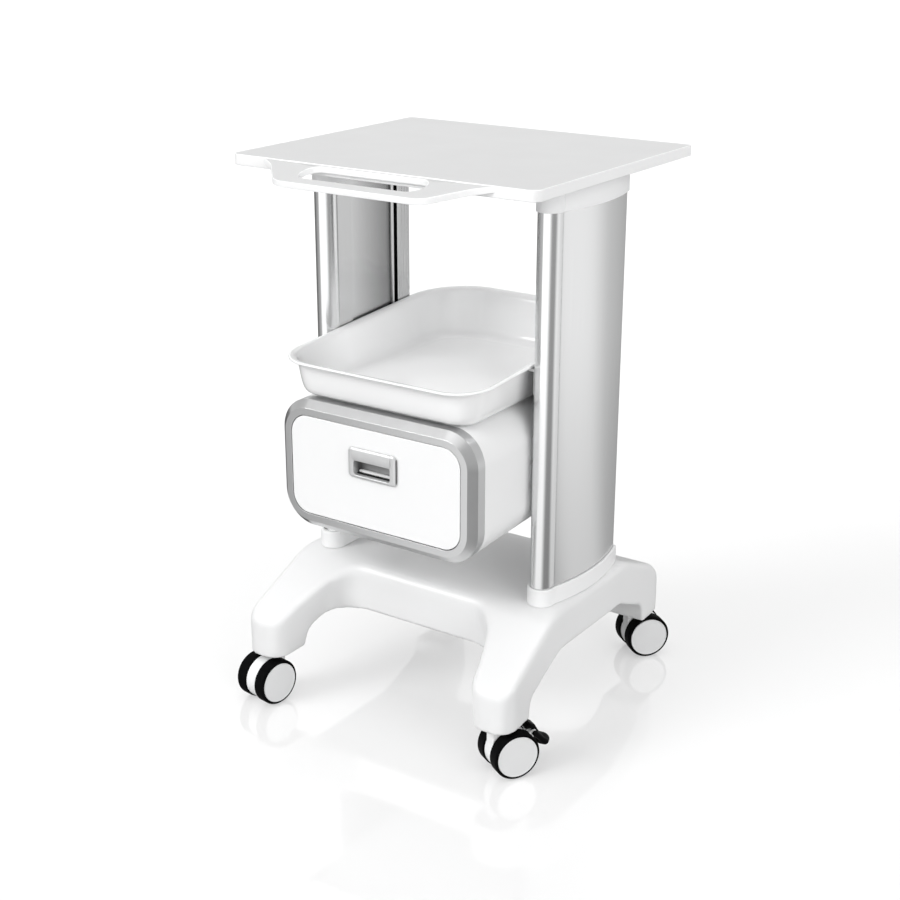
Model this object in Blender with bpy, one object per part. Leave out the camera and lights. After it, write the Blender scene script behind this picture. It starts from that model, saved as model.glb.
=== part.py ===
"""Instrument cart: a table on two columns, a tray, a drawer and a base on four twin-wheel casters.

Metres, +Z up, +Y to the rear, +X to the right of the cart seen from its front.
The origin is on the floor under the middle of the table.
"""
import math

import bmesh
import bpy
from mathutils import Vector

# Fit and roundness
GAP = 0.0003
SLIDE_FIT = 0.0005
ARC_STEPS = 6
WHEEL_SEGMENTS = 28
PIN_SEGMENTS = 16
SMOOTH_ANGLE = math.radians(35.0)

# Table
TABLE_WIDTH = 0.528
TABLE_DEPTH = 0.460
TABLE_HEIGHT = 0.883
TABLE_THICK = 0.0165
TABLE_FRONT_RADIUS = 0.0155
TABLE_REAR_RADIUS = 0.006
TABLE_EDGE = 0.0015

# Hand rail in front of the table
HANDLE_REACH = 0.068
HANDLE_THICK = 0.009
HANDLE_STEP = 0.003
HANDLE_SLOPE = 0.209
HANDLE_ROOT_INSET = 0.065
HANDLE_WAIST_INSET = 0.101
HANDLE_NOSE_INSET = 0.131
HANDLE_NOSE_RADIUS = 0.030
HANDLE_WAIST_RADIUS = 0.060
HANDLE_WAIST_REACH = 0.0227
HANDLE_OVERLAP = 0.012
SLOT_INSET = 0.159
SLOT_REAR = 0.005
SLOT_WIDTH = 0.045
SLOT_RADIUS = 0.021

# Columns
COLUMN_INSET = 0.0808
COLUMN_NOSE_RADIUS = 0.0175
COLUMN_NOSE_Y = -0.0876
COLUMN_REAR_Y = 0.110
COLUMN_GROOVE = 0.008
COLUMN_BULGE = 0.014
COLUMN_COVER_THICK = 0.0025
COLUMN_CAVITY_WALL = 0.003
RECESS_DEPTH = 0.003
RECESS_FRONT_Y = -0.047
RECESS_REAR_Y = 0.056
TEE_SLOT_FRONT_Y = 0.062
TEE_SLOT_WIDTH = 0.014
TEE_SLOT_DEPTH = 0.010
CAP_HEIGHT = 0.0405
CAP_LIP = 0.0025
CAP_ROOF = 0.0042
BOOT_HEIGHT = 0.027
BOOT_LIP = 0.0040

# Casters
WHEEL_RADIUS = 0.0375
WHEEL_INNER = 0.0116
WHEEL_OUTER = 0.0316
TREAD_DEPTH = 0.0046
HUB_PROUD = 0.0006
HUB_EDGE = 0.0016
TREAD_SHOULDER = 0.0045
TREAD_INNER_EDGE = 0.0015
AXLE_RADIUS = 0.004
AXLE_HALF = 0.0275
CASTER_TRAIL = 0.018
HOUSING_HALF = 0.0108
HOUSING_SHY = 0.0025
HOUSING_NECK = 0.0135
STEM_RADIUS = 0.0055
STEM_IN_HOUSING = 0.0145
STEM_IN_SOCKET = 0.038
SOCKET_RADIUS = 0.027
SOCKET_LENGTH = 0.052
SOCKET_CLEARANCE = 0.0035
HOUSING_CLEARANCE = 0.0008
FRONT_SWIVEL_OUT = 0.0332
FRONT_SWIVEL_BACK = -0.002
REAR_SWIVEL_OUT = 0.0138
REAR_SWIVEL_BACK = 0.004
HEADING_FRONT_LEFT = math.radians(-98.75)
HEADING_FRONT_RIGHT = math.radians(59.3)
HEADING_REAR_LEFT = math.radians(65.0)
HEADING_REAR_RIGHT = math.radians(50.7)

# Brake pedal on the front right caster, with its hinge clear of the treads
PEDAL_HALF = 0.0155
PEDAL_THICK = 0.0044
PEDAL_HINGE_CLEAR = 0.006596485
PEDAL_HINGE_TILT = math.radians(29.180806)
PEDAL_PRONG_BACK = 0.0150
PEDAL_PRONG_RISE = 0.0130
PEDAL_TIP_REACH = 0.0225
PEDAL_TIP_DROP = 0.0195
PEDAL_LUG_RADIUS = 0.0042
PEDAL_PIN_RADIUS = 0.0018

# Base cover and steel chassis
BASE_SHELL = 0.004
BASE_HEIGHT = 0.1395
LEG_RISE = 0.003
LEG_END_HALF = 0.0354
LEG_END_CORNER = 0.032
LEG_END_DROP = 0.083
LEG_END_ROUND = 0.009
DECK_HALF = 0.118
DECK_ROUND = 0.100
BASE_WALL_Y = 0.130
BASE_CROTCH_RADIUS = 0.036
LEG_ROOT_IN = 0.055
LEG_FOOT_OUT = 0.003
BASE_WAIST_OUT = 0.058
BASE_WAIST_Y = 0.070
BASE_WAIST_RADIUS = 0.250
ARCH_RISE = 0.071
ARCH_SHOULDER = 0.032
ARCH_SHOULDER_IN = 0.012
ARCH_SHOULDER_RADIUS = 0.024
ARCH_FLAT_HALF = 0.100
ARCH_CLEAR_OF_SWIVEL = 0.031
ARCH_INNER_SHIFT = 0.013
ARCH_INNER_OUT = 0.012
ARCH_INNER_FLAT_HALF = 0.125
CHASSIS_THICK = 0.008
CHASSIS_OUT = 0.030
CHASSIS_HALF_DEPTH = 0.095
ARM_WIDTH = 0.026
ARM_HEIGHT = 0.013

# Drawer
PANEL_LIFT = 0.125
PANEL_HEIGHT = 0.158
PANEL_RADIUS = 0.030
PANEL_THICK = 0.016
PANEL_EDGE = 0.001
PANEL_FORWARD = 0.013
REVEAL = 0.0008
BEZEL_FACET = 0.0110
BEZEL_CHAMFER = 0.0115
BEZEL_DEPTH = 0.030
CASE_COLUMN_GAP = 0.0056
CASE_WALL = 0.0035
CASE_REAR_Y = 0.125
CASE_RISE = 0.012
BOX_SIDE_ROOM = 0.0376
BOX_WALL = 0.003
BOX_BOTTOM_ROOM = 0.006
BOX_TOP_ROOM = 0.024
BOX_REAR_ROOM = 0.020
BOX_RADIUS = 0.006
RAIL_LIFT = 0.070
RAIL_HALF = 0.018
RAIL_TONGUE_HALF = 0.007
RAIL_TONGUE = 0.010
RAIL_PLATE = 0.003
RAIL_FRONT_ROOM = 0.0015

# Recessed pull in the drawer front
PULL_HALF = 0.044
PULL_HEIGHT = 0.048
PULL_LIFT = 0.1035
PULL_PROUD = 0.005
PULL_EDGE = 0.004
PULL_SIDE = 0.0017
PULL_RADIUS = 0.010
MOUTH_HALF = 0.033
MOUTH_HEIGHT = 0.0235
MOUTH_DROP = 0.0068
MOUTH_RADIUS = 0.006
MOUTH_DEPTH = 0.0110
CUP_WALL = 0.002

# Brackets and tray
BRACKET_FRONT_Y = -0.086
BRACKET_REAR_Y = 0.050
BRACKET_HEIGHT = 0.120
BRACKET_LIFT = 0.020
HOOK_WIDTH = 0.008
HOOK_DEPTH = 0.006
HOOK_PITCH = 0.038
TRAY_LIFT = 0.0025
TRAY_HEIGHT = 0.072
TRAY_RIM_SLOPE = 0.059
TRAY_SIDE_ROOM = 0.0030
TRAY_FRONT_Y = -0.249
TRAY_REAR_Y = 0.210
TRAY_FRONT_RADIUS = 0.070
TRAY_REAR_RADIUS = 0.100
TRAY_WALL = 0.003
TRAY_FLOOR_PART = 0.05
TRAY_FOOT_INSET = 0.0340
TRAY_HEEL_PART = 0.06
TRAY_HEEL_INSET = 0.0255
TRAY_KNEE_PART = 0.24
TRAY_KNEE_INSET = 0.0195
TRAY_NECK_PART = 0.86
TRAY_NECK_INSET = 0.0135
TRAY_FLARE_PART = 0.92
TRAY_RIM = 0.0105
TRAY_LIP_PART = 0.97
TRAY_LIP_ROUND = 0.0015
TRAY_BRACKET_SINK = 0.0008
TRAY_BRACKET_HEIGHT = 0.040
TRAY_BRACKET_PLATE = 0.0045

# Heights and half widths that follow from the sizes above
HUB_RADIUS = WHEEL_RADIUS - TREAD_DEPTH
HOUSING_RADIUS = WHEEL_RADIUS - HOUSING_SHY
PEDAL_HINGE_OUT = (WHEEL_RADIUS + PEDAL_HINGE_CLEAR) * math.cos(PEDAL_HINGE_TILT)
PEDAL_HINGE_UP = (WHEEL_RADIUS + PEDAL_HINGE_CLEAR) * math.sin(PEDAL_HINGE_TILT)
SOCKET_BOTTOM = 2.0 * WHEEL_RADIUS + SOCKET_CLEARANCE
LEG_BOTTOM = SOCKET_BOTTOM + LEG_RISE
DECK = LEG_BOTTOM + BASE_HEIGHT
TABLE_BOTTOM = TABLE_HEIGHT - TABLE_THICK
TABLE_FRONT_Y = -TABLE_DEPTH / 2.0
COLUMN_INNER = TABLE_WIDTH / 2.0 - COLUMN_INSET
COLUMN_NOSE_X = COLUMN_INNER + COLUMN_NOSE_RADIUS
COLUMN_OUTER = COLUMN_NOSE_X + COLUMN_NOSE_RADIUS
COLUMN_CORE_OUTER = COLUMN_OUTER - COLUMN_COVER_THICK - GAP
COLUMN_FOOT = DECK + GAP
COLUMN_TOP = TABLE_BOTTOM - GAP - CAP_ROOF - GAP
COVER_FRONT_Y = COLUMN_NOSE_Y + COLUMN_GROOVE
CASE_HALF = COLUMN_INNER - CASE_COLUMN_GAP
PANEL_FRAME = REVEAL + BEZEL_FACET + BEZEL_CHAMFER
PANEL_HALF = CASE_HALF - PANEL_FRAME
PANEL_BOTTOM = DECK + PANEL_LIFT
PANEL_TOP = PANEL_BOTTOM + PANEL_HEIGHT
PANEL_FRONT_Y = TABLE_FRONT_Y - PANEL_FORWARD
PANEL_BACK_Y = PANEL_FRONT_Y + PANEL_THICK
BEZEL_BACK_Y = PANEL_FRONT_Y + BEZEL_DEPTH
BEZEL_TOP = PANEL_TOP + PANEL_FRAME
BOX_HALF = CASE_HALF - BOX_SIDE_ROOM
BOX_REAR_Y = CASE_REAR_Y - BOX_REAR_ROOM
RAIL_MIDDLE = PANEL_BOTTOM + RAIL_LIFT
TRAY_BOTTOM = BEZEL_TOP + TRAY_LIFT
SIDES = (("left", -1.0), ("right", 1.0))


def clear_scene():
    """Remove every object that is in the scene."""
    for item in list(bpy.data.objects):
        bpy.data.objects.remove(item, do_unlink=True)


def surface(name, color, roughness, metallic):
    """Make one plain material for a piece."""
    material = bpy.data.materials.new(name)
    material.use_nodes = True
    shader = material.node_tree.nodes["Principled BSDF"]
    shader.inputs["Base Color"].default_value = (*color, 1.0)
    shader.inputs["Roughness"].default_value = roughness
    shader.inputs["Metallic"].default_value = metallic
    return material


def add_piece(name, mesh, finish, parent=None, location=(0.0, 0.0, 0.0), smooth=False):
    """Put a finished mesh in the scene as one named piece with its own material."""
    piece = bpy.data.objects.new(name, mesh)
    bpy.context.scene.collection.objects.link(piece)
    mesh.name = name
    mesh.materials.clear()
    mesh.materials.append(surface(name, *finish))
    piece.location = location
    if parent is not None:
        piece.parent = parent
    if smooth:
        mesh.shade_smooth()
        mesh.set_sharp_from_angle(angle=SMOOTH_ANGLE)
    return piece


def lifted(point, level, axis):
    """Put a flat outline point at a level along the axis that the outline faces."""
    if axis == "X":
        return Vector((level, point[0], point[1]))
    if axis == "Y":
        return Vector((point[0], level, point[1]))
    return Vector((point[0], point[1], level))


def loft(loops, ring=False, split=False):
    """Skin a stack of loops of equal length; the ends are capped, or joined to a ring.

    Faces between loops of unlike shape are split into flat triangles before they are cut.
    """
    build = bmesh.new()
    rows = [[build.verts.new(point) for point in loop] for loop in loops]
    pairs = list(zip(rows, rows[1:]))
    if ring:
        pairs.append((rows[-1], rows[0]))
    else:
        build.faces.new(rows[0])
        build.faces.new(rows[-1])
    for lower, upper in pairs:
        count = len(lower)
        for index in range(count):
            after = (index + 1) % count
            build.faces.new((lower[index], lower[after], upper[after], upper[index]))
    bmesh.ops.recalc_face_normals(build, faces=build.faces)
    if split:
        bmesh.ops.triangulate(build, faces=build.faces)
    mesh = bpy.data.meshes.new("loft")
    build.to_mesh(mesh)
    build.free()
    return mesh


def stack(levels, axis):
    """Lift each flat outline of (level, outline) to its level, as loops for a loft."""
    return [[lifted(point, level, axis) for point in outline] for level, outline in levels]


def prism(outline, low, high, axis="Z"):
    """Make a straight prism of a flat outline between two levels of an axis."""
    return loft(stack(((low, outline), (high, outline)), axis))


def circle(radius, segments, center=(0.0, 0.0)):
    """Points of a circle as a regular polygon."""
    turn = 2.0 * math.pi / segments
    return [
        (center[0] + radius * math.cos(turn * step), center[1] + radius * math.sin(turn * step))
        for step in range(segments)
    ]


def rounded(corners):
    """Outline of straight lines whose corners (u, v, radius) are rounded, hollow ones too."""
    outline = []
    count = len(corners)
    for index, (u, v, radius) in enumerate(corners):
        corner = Vector((u, v))
        if radius <= 0.0:
            outline.append((u, v))
            continue
        before = (Vector(corners[index - 1][:2]) - corner).normalized()
        after = (Vector(corners[(index + 1) % count][:2]) - corner).normalized()
        half_angle = before.angle(after) / 2.0
        middle = corner + (before + after).normalized() * (radius / math.sin(half_angle))
        start = corner + before * (radius / math.tan(half_angle)) - middle
        end = corner + after * (radius / math.tan(half_angle)) - middle
        first = math.atan2(start.y, start.x)
        sweep = (math.atan2(end.y, end.x) - first + math.pi) % (2.0 * math.pi) - math.pi
        for step in range(ARC_STEPS + 1):
            angle = first + sweep * step / ARC_STEPS
            outline.append((middle.x + radius * math.cos(angle), middle.y + radius * math.sin(angle)))
    return outline


def inset(outline, distance):
    """Move every point of a counter-clockwise outline inward by a distance."""
    moved = []
    count = len(outline)
    for index in range(count):
        here = Vector(outline[index])
        back = (here - Vector(outline[index - 1])).normalized()
        ahead = (Vector(outline[(index + 1) % count]) - here).normalized()
        inward_back = Vector((-back.y, back.x))
        inward_ahead = Vector((-ahead.y, ahead.x))
        bisector = (inward_back + inward_ahead).normalized()
        moved.append(tuple(here + bisector * (distance / bisector.dot(inward_back))))
    return moved


def mirrored(right_half):
    """Corners of a whole outline from its right half, listed from front to rear."""
    left_half = [(-u, v, radius) for u, v, radius in reversed(right_half)]
    return list(right_half) + left_half


def rectangle(half_width, low, high, radius, grow=0.0):
    """Rounded rectangle around u = 0 from v = low to v = high, grown on all sides."""
    side = half_width + grow
    return rounded((
        (-side, low - grow, radius + grow),
        (side, low - grow, radius + grow),
        (side, high + grow, radius + grow),
        (-side, high + grow, radius + grow),
    ))


def combine(mesh, other, operation):
    """Join, cut or intersect a mesh with another one and keep only the result."""
    target = bpy.data.objects.new("target", mesh)
    tool = bpy.data.objects.new("tool", other)
    for item in (target, tool):
        bpy.context.scene.collection.objects.link(item)
    step = target.modifiers.new("combine", "BOOLEAN")
    step.operation = operation
    step.solver = "EXACT"
    step.object = tool
    graph = bpy.context.evaluated_depsgraph_get()
    result = bpy.data.meshes.new_from_object(target.evaluated_get(graph))
    for item in (target, tool):
        bpy.data.objects.remove(item, do_unlink=True)
    return result


def cut(mesh, *tools):
    """Cut one or more tool meshes out of a mesh."""
    for tool in tools:
        mesh = combine(mesh, tool, "DIFFERENCE")
    return mesh


def join(mesh, *others):
    """Join meshes that overlap into one body."""
    for other in others:
        mesh = combine(mesh, other, "UNION")
    return mesh


# Finishes: colour, roughness, metallic
WHITE = ((0.86, 0.87, 0.88), 0.35, 0.0)
TABLE_WHITE = ((0.78, 0.79, 0.80), 0.45, 0.0)
GLOSS_WHITE = ((0.88, 0.89, 0.90), 0.18, 0.0)
ALUMINIUM = ((0.72, 0.73, 0.74), 0.28, 1.0)
SILVER = ((0.66, 0.67, 0.68), 0.35, 0.8)
STEEL = ((0.58, 0.58, 0.59), 0.35, 1.0)
GREY_PAINT = ((0.46, 0.47, 0.48), 0.5, 0.3)
LIGHT_GREY = ((0.62, 0.63, 0.64), 0.5, 0.0)
BLACK = ((0.02, 0.02, 0.022), 0.6, 0.0)


def table_mesh():
    """Table slab with the sloping hand rail moulded to its front and a slot for the hand."""
    half = TABLE_WIDTH / 2.0
    outline = rounded(mirrored((
        (half, TABLE_FRONT_Y, TABLE_FRONT_RADIUS),
        (half, -TABLE_FRONT_Y, TABLE_REAR_RADIUS),
    )))
    slim = inset(outline, TABLE_EDGE)
    slab = loft(stack((
        (TABLE_BOTTOM, slim),
        (TABLE_BOTTOM + TABLE_EDGE, outline),
        (TABLE_HEIGHT - TABLE_EDGE, outline),
        (TABLE_HEIGHT, slim),
    ), "Z"))
    nose_y = TABLE_FRONT_Y - HANDLE_REACH
    rail = rounded(mirrored((
        (half - HANDLE_NOSE_INSET, nose_y, HANDLE_NOSE_RADIUS),
        (half - HANDLE_WAIST_INSET, TABLE_FRONT_Y - HANDLE_WAIST_REACH, HANDLE_WAIST_RADIUS),
        (half - HANDLE_ROOT_INSET, TABLE_FRONT_Y, 0.0),
        (half - HANDLE_ROOT_INSET, TABLE_FRONT_Y + HANDLE_OVERLAP, 0.0),
    )))
    top = TABLE_HEIGHT - HANDLE_STEP
    fall = [HANDLE_SLOPE * min(0.0, point[1] - TABLE_FRONT_Y) for point in rail]
    upper = [Vector((*point, top + drop)) for point, drop in zip(rail, fall)]
    lower = [point - Vector((0.0, 0.0, HANDLE_THICK)) for point in upper]
    slot_rear_y = TABLE_FRONT_Y - SLOT_REAR
    slot = rectangle(half - SLOT_INSET, slot_rear_y - SLOT_WIDTH, slot_rear_y, SLOT_RADIUS)
    slot_tool = prism(slot, TABLE_BOTTOM - HANDLE_REACH, TABLE_HEIGHT + HANDLE_REACH)
    return cut(join(slab, loft((lower, upper))), slot_tool)


def cover_arc(grow):
    """Outer bulge of a column from the groove to the rear, for the right side."""
    half = (COLUMN_REAR_Y - COVER_FRONT_Y) / 2.0
    middle = (COLUMN_REAR_Y + COVER_FRONT_Y) / 2.0
    radius = (half * half + COLUMN_BULGE * COLUMN_BULGE) / (2.0 * COLUMN_BULGE)
    points = []
    for step in range(2 * ARC_STEPS + 1):
        along = half * (step / ARC_STEPS - 1.0)
        bulge = math.sqrt(radius * radius - along * along) - (radius - COLUMN_BULGE)
        points.append((COLUMN_OUTER + bulge + grow, middle + along))
    return points


def nose_arc(grow):
    """Round front of a column from its inner side to its outer side."""
    radius = COLUMN_NOSE_RADIUS + grow
    points = []
    for step in range(2 * ARC_STEPS + 1):
        angle = math.pi * (1.0 + step / (2.0 * ARC_STEPS))
        across = COLUMN_NOSE_X + radius * math.cos(angle)
        along = COLUMN_NOSE_Y + radius * math.sin(angle)
        points.append((across, along))
    return points


def column_envelope(grow):
    """Outline round a whole column with its cover, grown by a distance."""
    rear = COLUMN_REAR_Y + grow
    outline = nose_arc(grow) + cover_arc(grow)
    outline.append((COLUMN_OUTER + grow, rear))
    outline.append((COLUMN_INNER - grow, rear))
    return outline


def on_side(outline, sign):
    """Outline for the left or right side of the cart from the one for the right."""
    return [(sign * u, v) for u, v in outline]


def column_mesh(sign):
    """Hollow extrusion with a round nose, a recessed inner face and a slot down its length."""
    floor = COLUMN_INNER + RECESS_DEPTH
    slot_floor = COLUMN_INNER + TEE_SLOT_DEPTH
    slot_rear_y = TEE_SLOT_FRONT_Y + TEE_SLOT_WIDTH
    seat_y = COVER_FRONT_Y - GAP
    outline = nose_arc(0.0) + [
        (COLUMN_OUTER, seat_y),
        (COLUMN_CORE_OUTER, seat_y),
        (COLUMN_CORE_OUTER, COLUMN_REAR_Y),
        (COLUMN_INNER, COLUMN_REAR_Y),
        (COLUMN_INNER, slot_rear_y),
        (slot_floor, slot_rear_y),
        (slot_floor, TEE_SLOT_FRONT_Y),
        (COLUMN_INNER, TEE_SLOT_FRONT_Y),
        (COLUMN_INNER, RECESS_REAR_Y),
        (floor, RECESS_REAR_Y),
        (floor, RECESS_FRONT_Y),
        (COLUMN_INNER, RECESS_FRONT_Y),
    ]
    inner = floor + COLUMN_CAVITY_WALL
    outer = COLUMN_CORE_OUTER - COLUMN_CAVITY_WALL
    cavity = (
        (inner, COLUMN_NOSE_Y),
        (outer, COLUMN_NOSE_Y),
        (outer, RECESS_REAR_Y),
        (inner, RECESS_REAR_Y),
    )
    body = prism(on_side(outline, sign), COLUMN_FOOT, COLUMN_TOP)
    bore = prism(on_side(cavity, sign), COLUMN_FOOT - CAP_HEIGHT, COLUMN_TOP + CAP_HEIGHT)
    return cut(body, bore)


def cover_mesh(sign):
    """Bowed cover strip that clips to the outer side of a column."""
    outline = cover_arc(0.0) + list(reversed(cover_arc(-COLUMN_COVER_THICK)))
    return prism(on_side(outline, sign), COLUMN_FOOT, COLUMN_TOP)


def boot_mesh(sign):
    """Collar round the foot of a column on the deck of the base."""
    outer = on_side(column_envelope(BOOT_LIP), sign)
    inner = on_side(column_envelope(GAP), sign)
    low = DECK + GAP
    high = DECK + BOOT_HEIGHT
    return loft(stack(((low, inner), (low, outer), (high, outer), (high, inner)), "Z"), ring=True)


def cap_mesh(sign):
    """Cup over the head of a column, under the table."""
    outer = on_side(column_envelope(CAP_LIP), sign)
    inner = on_side(column_envelope(GAP), sign)
    low = TABLE_BOTTOM - CAP_HEIGHT
    roof = COLUMN_TOP + GAP
    high = TABLE_BOTTOM - GAP
    return loft(stack(((roof, inner), (low, inner), (low, outer), (high, outer)), "Z"))


def swivel_spots():
    """Name, place and heading of each caster's swivel axis."""
    front_x = COLUMN_INNER + FRONT_SWIVEL_OUT
    rear_x = COLUMN_INNER + REAR_SWIVEL_OUT
    front_y = TABLE_FRONT_Y + FRONT_SWIVEL_BACK
    rear_y = -TABLE_FRONT_Y + REAR_SWIVEL_BACK
    return (
        ("front_left", -front_x, front_y, HEADING_FRONT_LEFT),
        ("front_right", front_x, front_y, HEADING_FRONT_RIGHT),
        ("rear_left", -rear_x, rear_y, HEADING_REAR_LEFT),
        ("rear_right", rear_x, rear_y, HEADING_REAR_RIGHT),
    )


def base_plan(root_in):
    """Plan outline of the base: a deck with a rounded leg at each corner.

    The inner side of a leg comes in by root_in from its end to the wall between the legs.
    """
    right = []
    spots = {name: (x, y) for name, x, y, _ in swivel_spots()}
    front_x, front_y = spots["front_right"]
    rear_x, rear_y = spots["rear_right"]
    end = LEG_END_HALF
    waist = BASE_WAIST_OUT + COLUMN_INNER
    right.append((front_x - end - root_in, -BASE_WALL_Y, BASE_CROTCH_RADIUS))
    right.append((front_x - end, front_y - end, LEG_END_CORNER))
    right.append((front_x + end, front_y - end, LEG_END_CORNER))
    right.append((waist, -BASE_WAIST_Y, BASE_WAIST_RADIUS))
    right.append((waist, BASE_WAIST_Y, BASE_WAIST_RADIUS))
    right.append((rear_x + end, rear_y + end, LEG_END_CORNER))
    right.append((rear_x - end, rear_y + end, LEG_END_CORNER))
    right.append((rear_x - end - root_in, BASE_WALL_Y, BASE_CROTCH_RADIUS))
    return rounded(mirrored(right))


def base_mesh():
    """Moulded cover of the base, open underneath, with an arch under each side."""
    spots = {name: (x, y) for name, x, y, _ in swivel_spots()}
    front_y = spots["front_right"][1]
    rear_y = spots["rear_right"][1]
    front_end = front_y - LEG_END_HALF - BASE_SHELL
    rear_end = rear_y + LEG_END_HALF + BASE_SHELL
    reach = TABLE_WIDTH
    below = LEG_BOTTOM - LEG_END_DROP
    end_top = DECK - LEG_END_DROP
    side_view = rounded((
        (front_end, below, 0.0),
        (rear_end, below, 0.0),
        (rear_end, end_top, LEG_END_ROUND),
        (DECK_HALF, DECK, DECK_ROUND),
        (-DECK_HALF, DECK, DECK_ROUND),
        (front_end, end_top, LEG_END_ROUND),
    ))
    foot_plan = base_plan(-LEG_FOOT_OUT)
    deck_plan = base_plan(LEG_ROOT_IN)
    over = DECK + BASE_SHELL
    outer = combine(
        loft(stack(((LEG_BOTTOM, foot_plan), (over, deck_plan)), "Z"), split=True),
        prism(side_view, -reach, reach, "X"),
        "INTERSECT",
    )
    under = LEG_BOTTOM - BASE_SHELL
    foot_hollow = inset(foot_plan, BASE_SHELL)
    deck_hollow = inset(deck_plan, BASE_SHELL)
    hollow = combine(
        loft(stack(((under, foot_hollow), (over, deck_hollow)), "Z"), split=True),
        prism(inset(side_view, BASE_SHELL), -reach, reach, "X"),
        "INTERSECT",
    )
    arch_top = LEG_BOTTOM + ARCH_RISE
    shoulder = LEG_BOTTOM + ARCH_SHOULDER
    arches = []
    inner_half = COLUMN_INNER + ARCH_INNER_OUT
    tunnels = (
        (0.0, ARCH_FLAT_HALF, reach),
        (ARCH_INNER_SHIFT, ARCH_INNER_FLAT_HALF, inner_half),
    )
    for shift, flat, half in tunnels:
        arch_front = front_y + ARCH_CLEAR_OF_SWIVEL - shift
        arch_rear = rear_y - ARCH_CLEAR_OF_SWIVEL + shift
        arch = rounded((
            (arch_front, below, 0.0),
            (arch_rear, below, 0.0),
            (arch_rear - ARCH_SHOULDER_IN, shoulder, ARCH_SHOULDER_RADIUS),
            (flat, arch_top, ARCH_RISE),
            (-flat, arch_top, ARCH_RISE),
            (arch_front + ARCH_SHOULDER_IN, shoulder, ARCH_SHOULDER_RADIUS),
        ))
        arches.append(prism(arch, -half, half, "X"))
    return cut(outer, hollow, *arches)


def chassis_mesh():
    """Steel plate under the deck with an arm to a caster socket in each leg."""
    plate_top = DECK - BASE_SHELL - GAP
    plate_bottom = plate_top - CHASSIS_THICK
    half_x = COLUMN_INNER + CHASSIS_OUT
    plate = rectangle(half_x, -CHASSIS_HALF_DEPTH, CHASSIS_HALF_DEPTH, ARM_HEIGHT)
    frame = prism(plate, plate_bottom, plate_top)
    socket_top = SOCKET_BOTTOM + SOCKET_LENGTH
    half = ARM_WIDTH / 2.0
    bores = []
    for _, x, y, _ in swivel_spots():
        root_x = math.copysign(half_x - ARM_WIDTH, x)
        root_y = math.copysign(CHASSIS_HALF_DEPTH - ARM_WIDTH, y)
        sections = []
        for middle, along, top in ((root_x, root_y, plate_top - GAP), (x, y, socket_top - GAP)):
            low = top - ARM_HEIGHT
            left = middle - half
            right = middle + half
            sections.append((along, ((left, low), (right, low), (right, top), (left, top))))
        arm = loft(stack(sections, "Y"))
        socket = prism(circle(SOCKET_RADIUS, WHEEL_SEGMENTS, (x, y)), SOCKET_BOTTOM, socket_top)
        frame = join(frame, arm, socket)
        bore = circle(STEM_RADIUS + GAP, PIN_SEGMENTS, (x, y))
        bores.append(prism(bore, 0.0, SOCKET_BOTTOM + STEM_IN_SOCKET + GAP))
    return cut(frame, *bores)


def bezel_mesh():
    """Frame round the drawer: a flat face, a chamfer and a straight side."""
    def frame(grow):
        return rectangle(PANEL_HALF, PANEL_BOTTOM, PANEL_TOP, PANEL_RADIUS, grow)

    side_y = PANEL_FRONT_Y + BEZEL_CHAMFER
    return loft(stack((
        (BEZEL_BACK_Y, frame(REVEAL)),
        (PANEL_FRONT_Y, frame(REVEAL)),
        (PANEL_FRONT_Y, frame(REVEAL + BEZEL_FACET)),
        (side_y, frame(PANEL_FRAME)),
        (BEZEL_BACK_Y, frame(PANEL_FRAME)),
    ), "Y"), ring=True)


def case_mesh():
    """Tub round the drawer, open at the front, its floor rising to the rear."""
    low = PANEL_BOTTOM - PANEL_FRAME
    radius = PANEL_RADIUS + PANEL_FRAME
    front_y = BEZEL_BACK_Y + GAP
    inner_rear_y = CASE_REAR_Y - CASE_WALL
    front = rectangle(CASE_HALF, low, BEZEL_TOP, radius)
    rear = rectangle(CASE_HALF, low + CASE_RISE, BEZEL_TOP, radius)
    return loft(stack((
        (inner_rear_y, inset(rear, CASE_WALL)),
        (front_y, inset(front, CASE_WALL)),
        (front_y, front),
        (CASE_REAR_Y, rear),
    ), "Y"))


def front_mesh():
    """Drawer front with a pocket for the cup of the pull."""
    outline = rectangle(PANEL_HALF, PANEL_BOTTOM, PANEL_TOP, PANEL_RADIUS)
    panel = loft(stack((
        (PANEL_FRONT_Y, inset(outline, PANEL_EDGE)),
        (PANEL_FRONT_Y + PANEL_EDGE, outline),
        (PANEL_BACK_Y, outline),
    ), "Y"))
    pocket_back = PANEL_FRONT_Y + MOUTH_DEPTH + CUP_WALL + GAP
    return cut(panel, prism(mouth(CUP_WALL + GAP), PANEL_FRONT_Y - PULL_PROUD, pocket_back, "Y"))


def mouth(grow):
    """Outline of the finger opening in the pull, grown by a distance."""
    low = PANEL_BOTTOM + PULL_LIFT - MOUTH_DROP - MOUTH_HEIGHT / 2.0
    return rectangle(MOUTH_HALF, low, low + MOUTH_HEIGHT, MOUTH_RADIUS, grow)


def pull_mesh():
    """Recessed pull: a raised plate with a finger opening and a cup behind it."""
    low = PANEL_BOTTOM + PULL_LIFT - PULL_HEIGHT / 2.0
    plate = rectangle(PULL_HALF, low, low + PULL_HEIGHT, PULL_RADIUS)
    seat_y = PANEL_FRONT_Y - GAP
    face_y = PANEL_FRONT_Y - PULL_PROUD
    return loft(stack((
        (PANEL_FRONT_Y + MOUTH_DEPTH, mouth(0.0)),
        (face_y, mouth(0.0)),
        (face_y, inset(plate, PULL_EDGE)),
        (seat_y - PULL_SIDE, plate),
        (seat_y, plate),
        (seat_y, mouth(CUP_WALL)),
        (PANEL_FRONT_Y + MOUTH_DEPTH + CUP_WALL, mouth(CUP_WALL)),
    ), "Y"))


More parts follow.
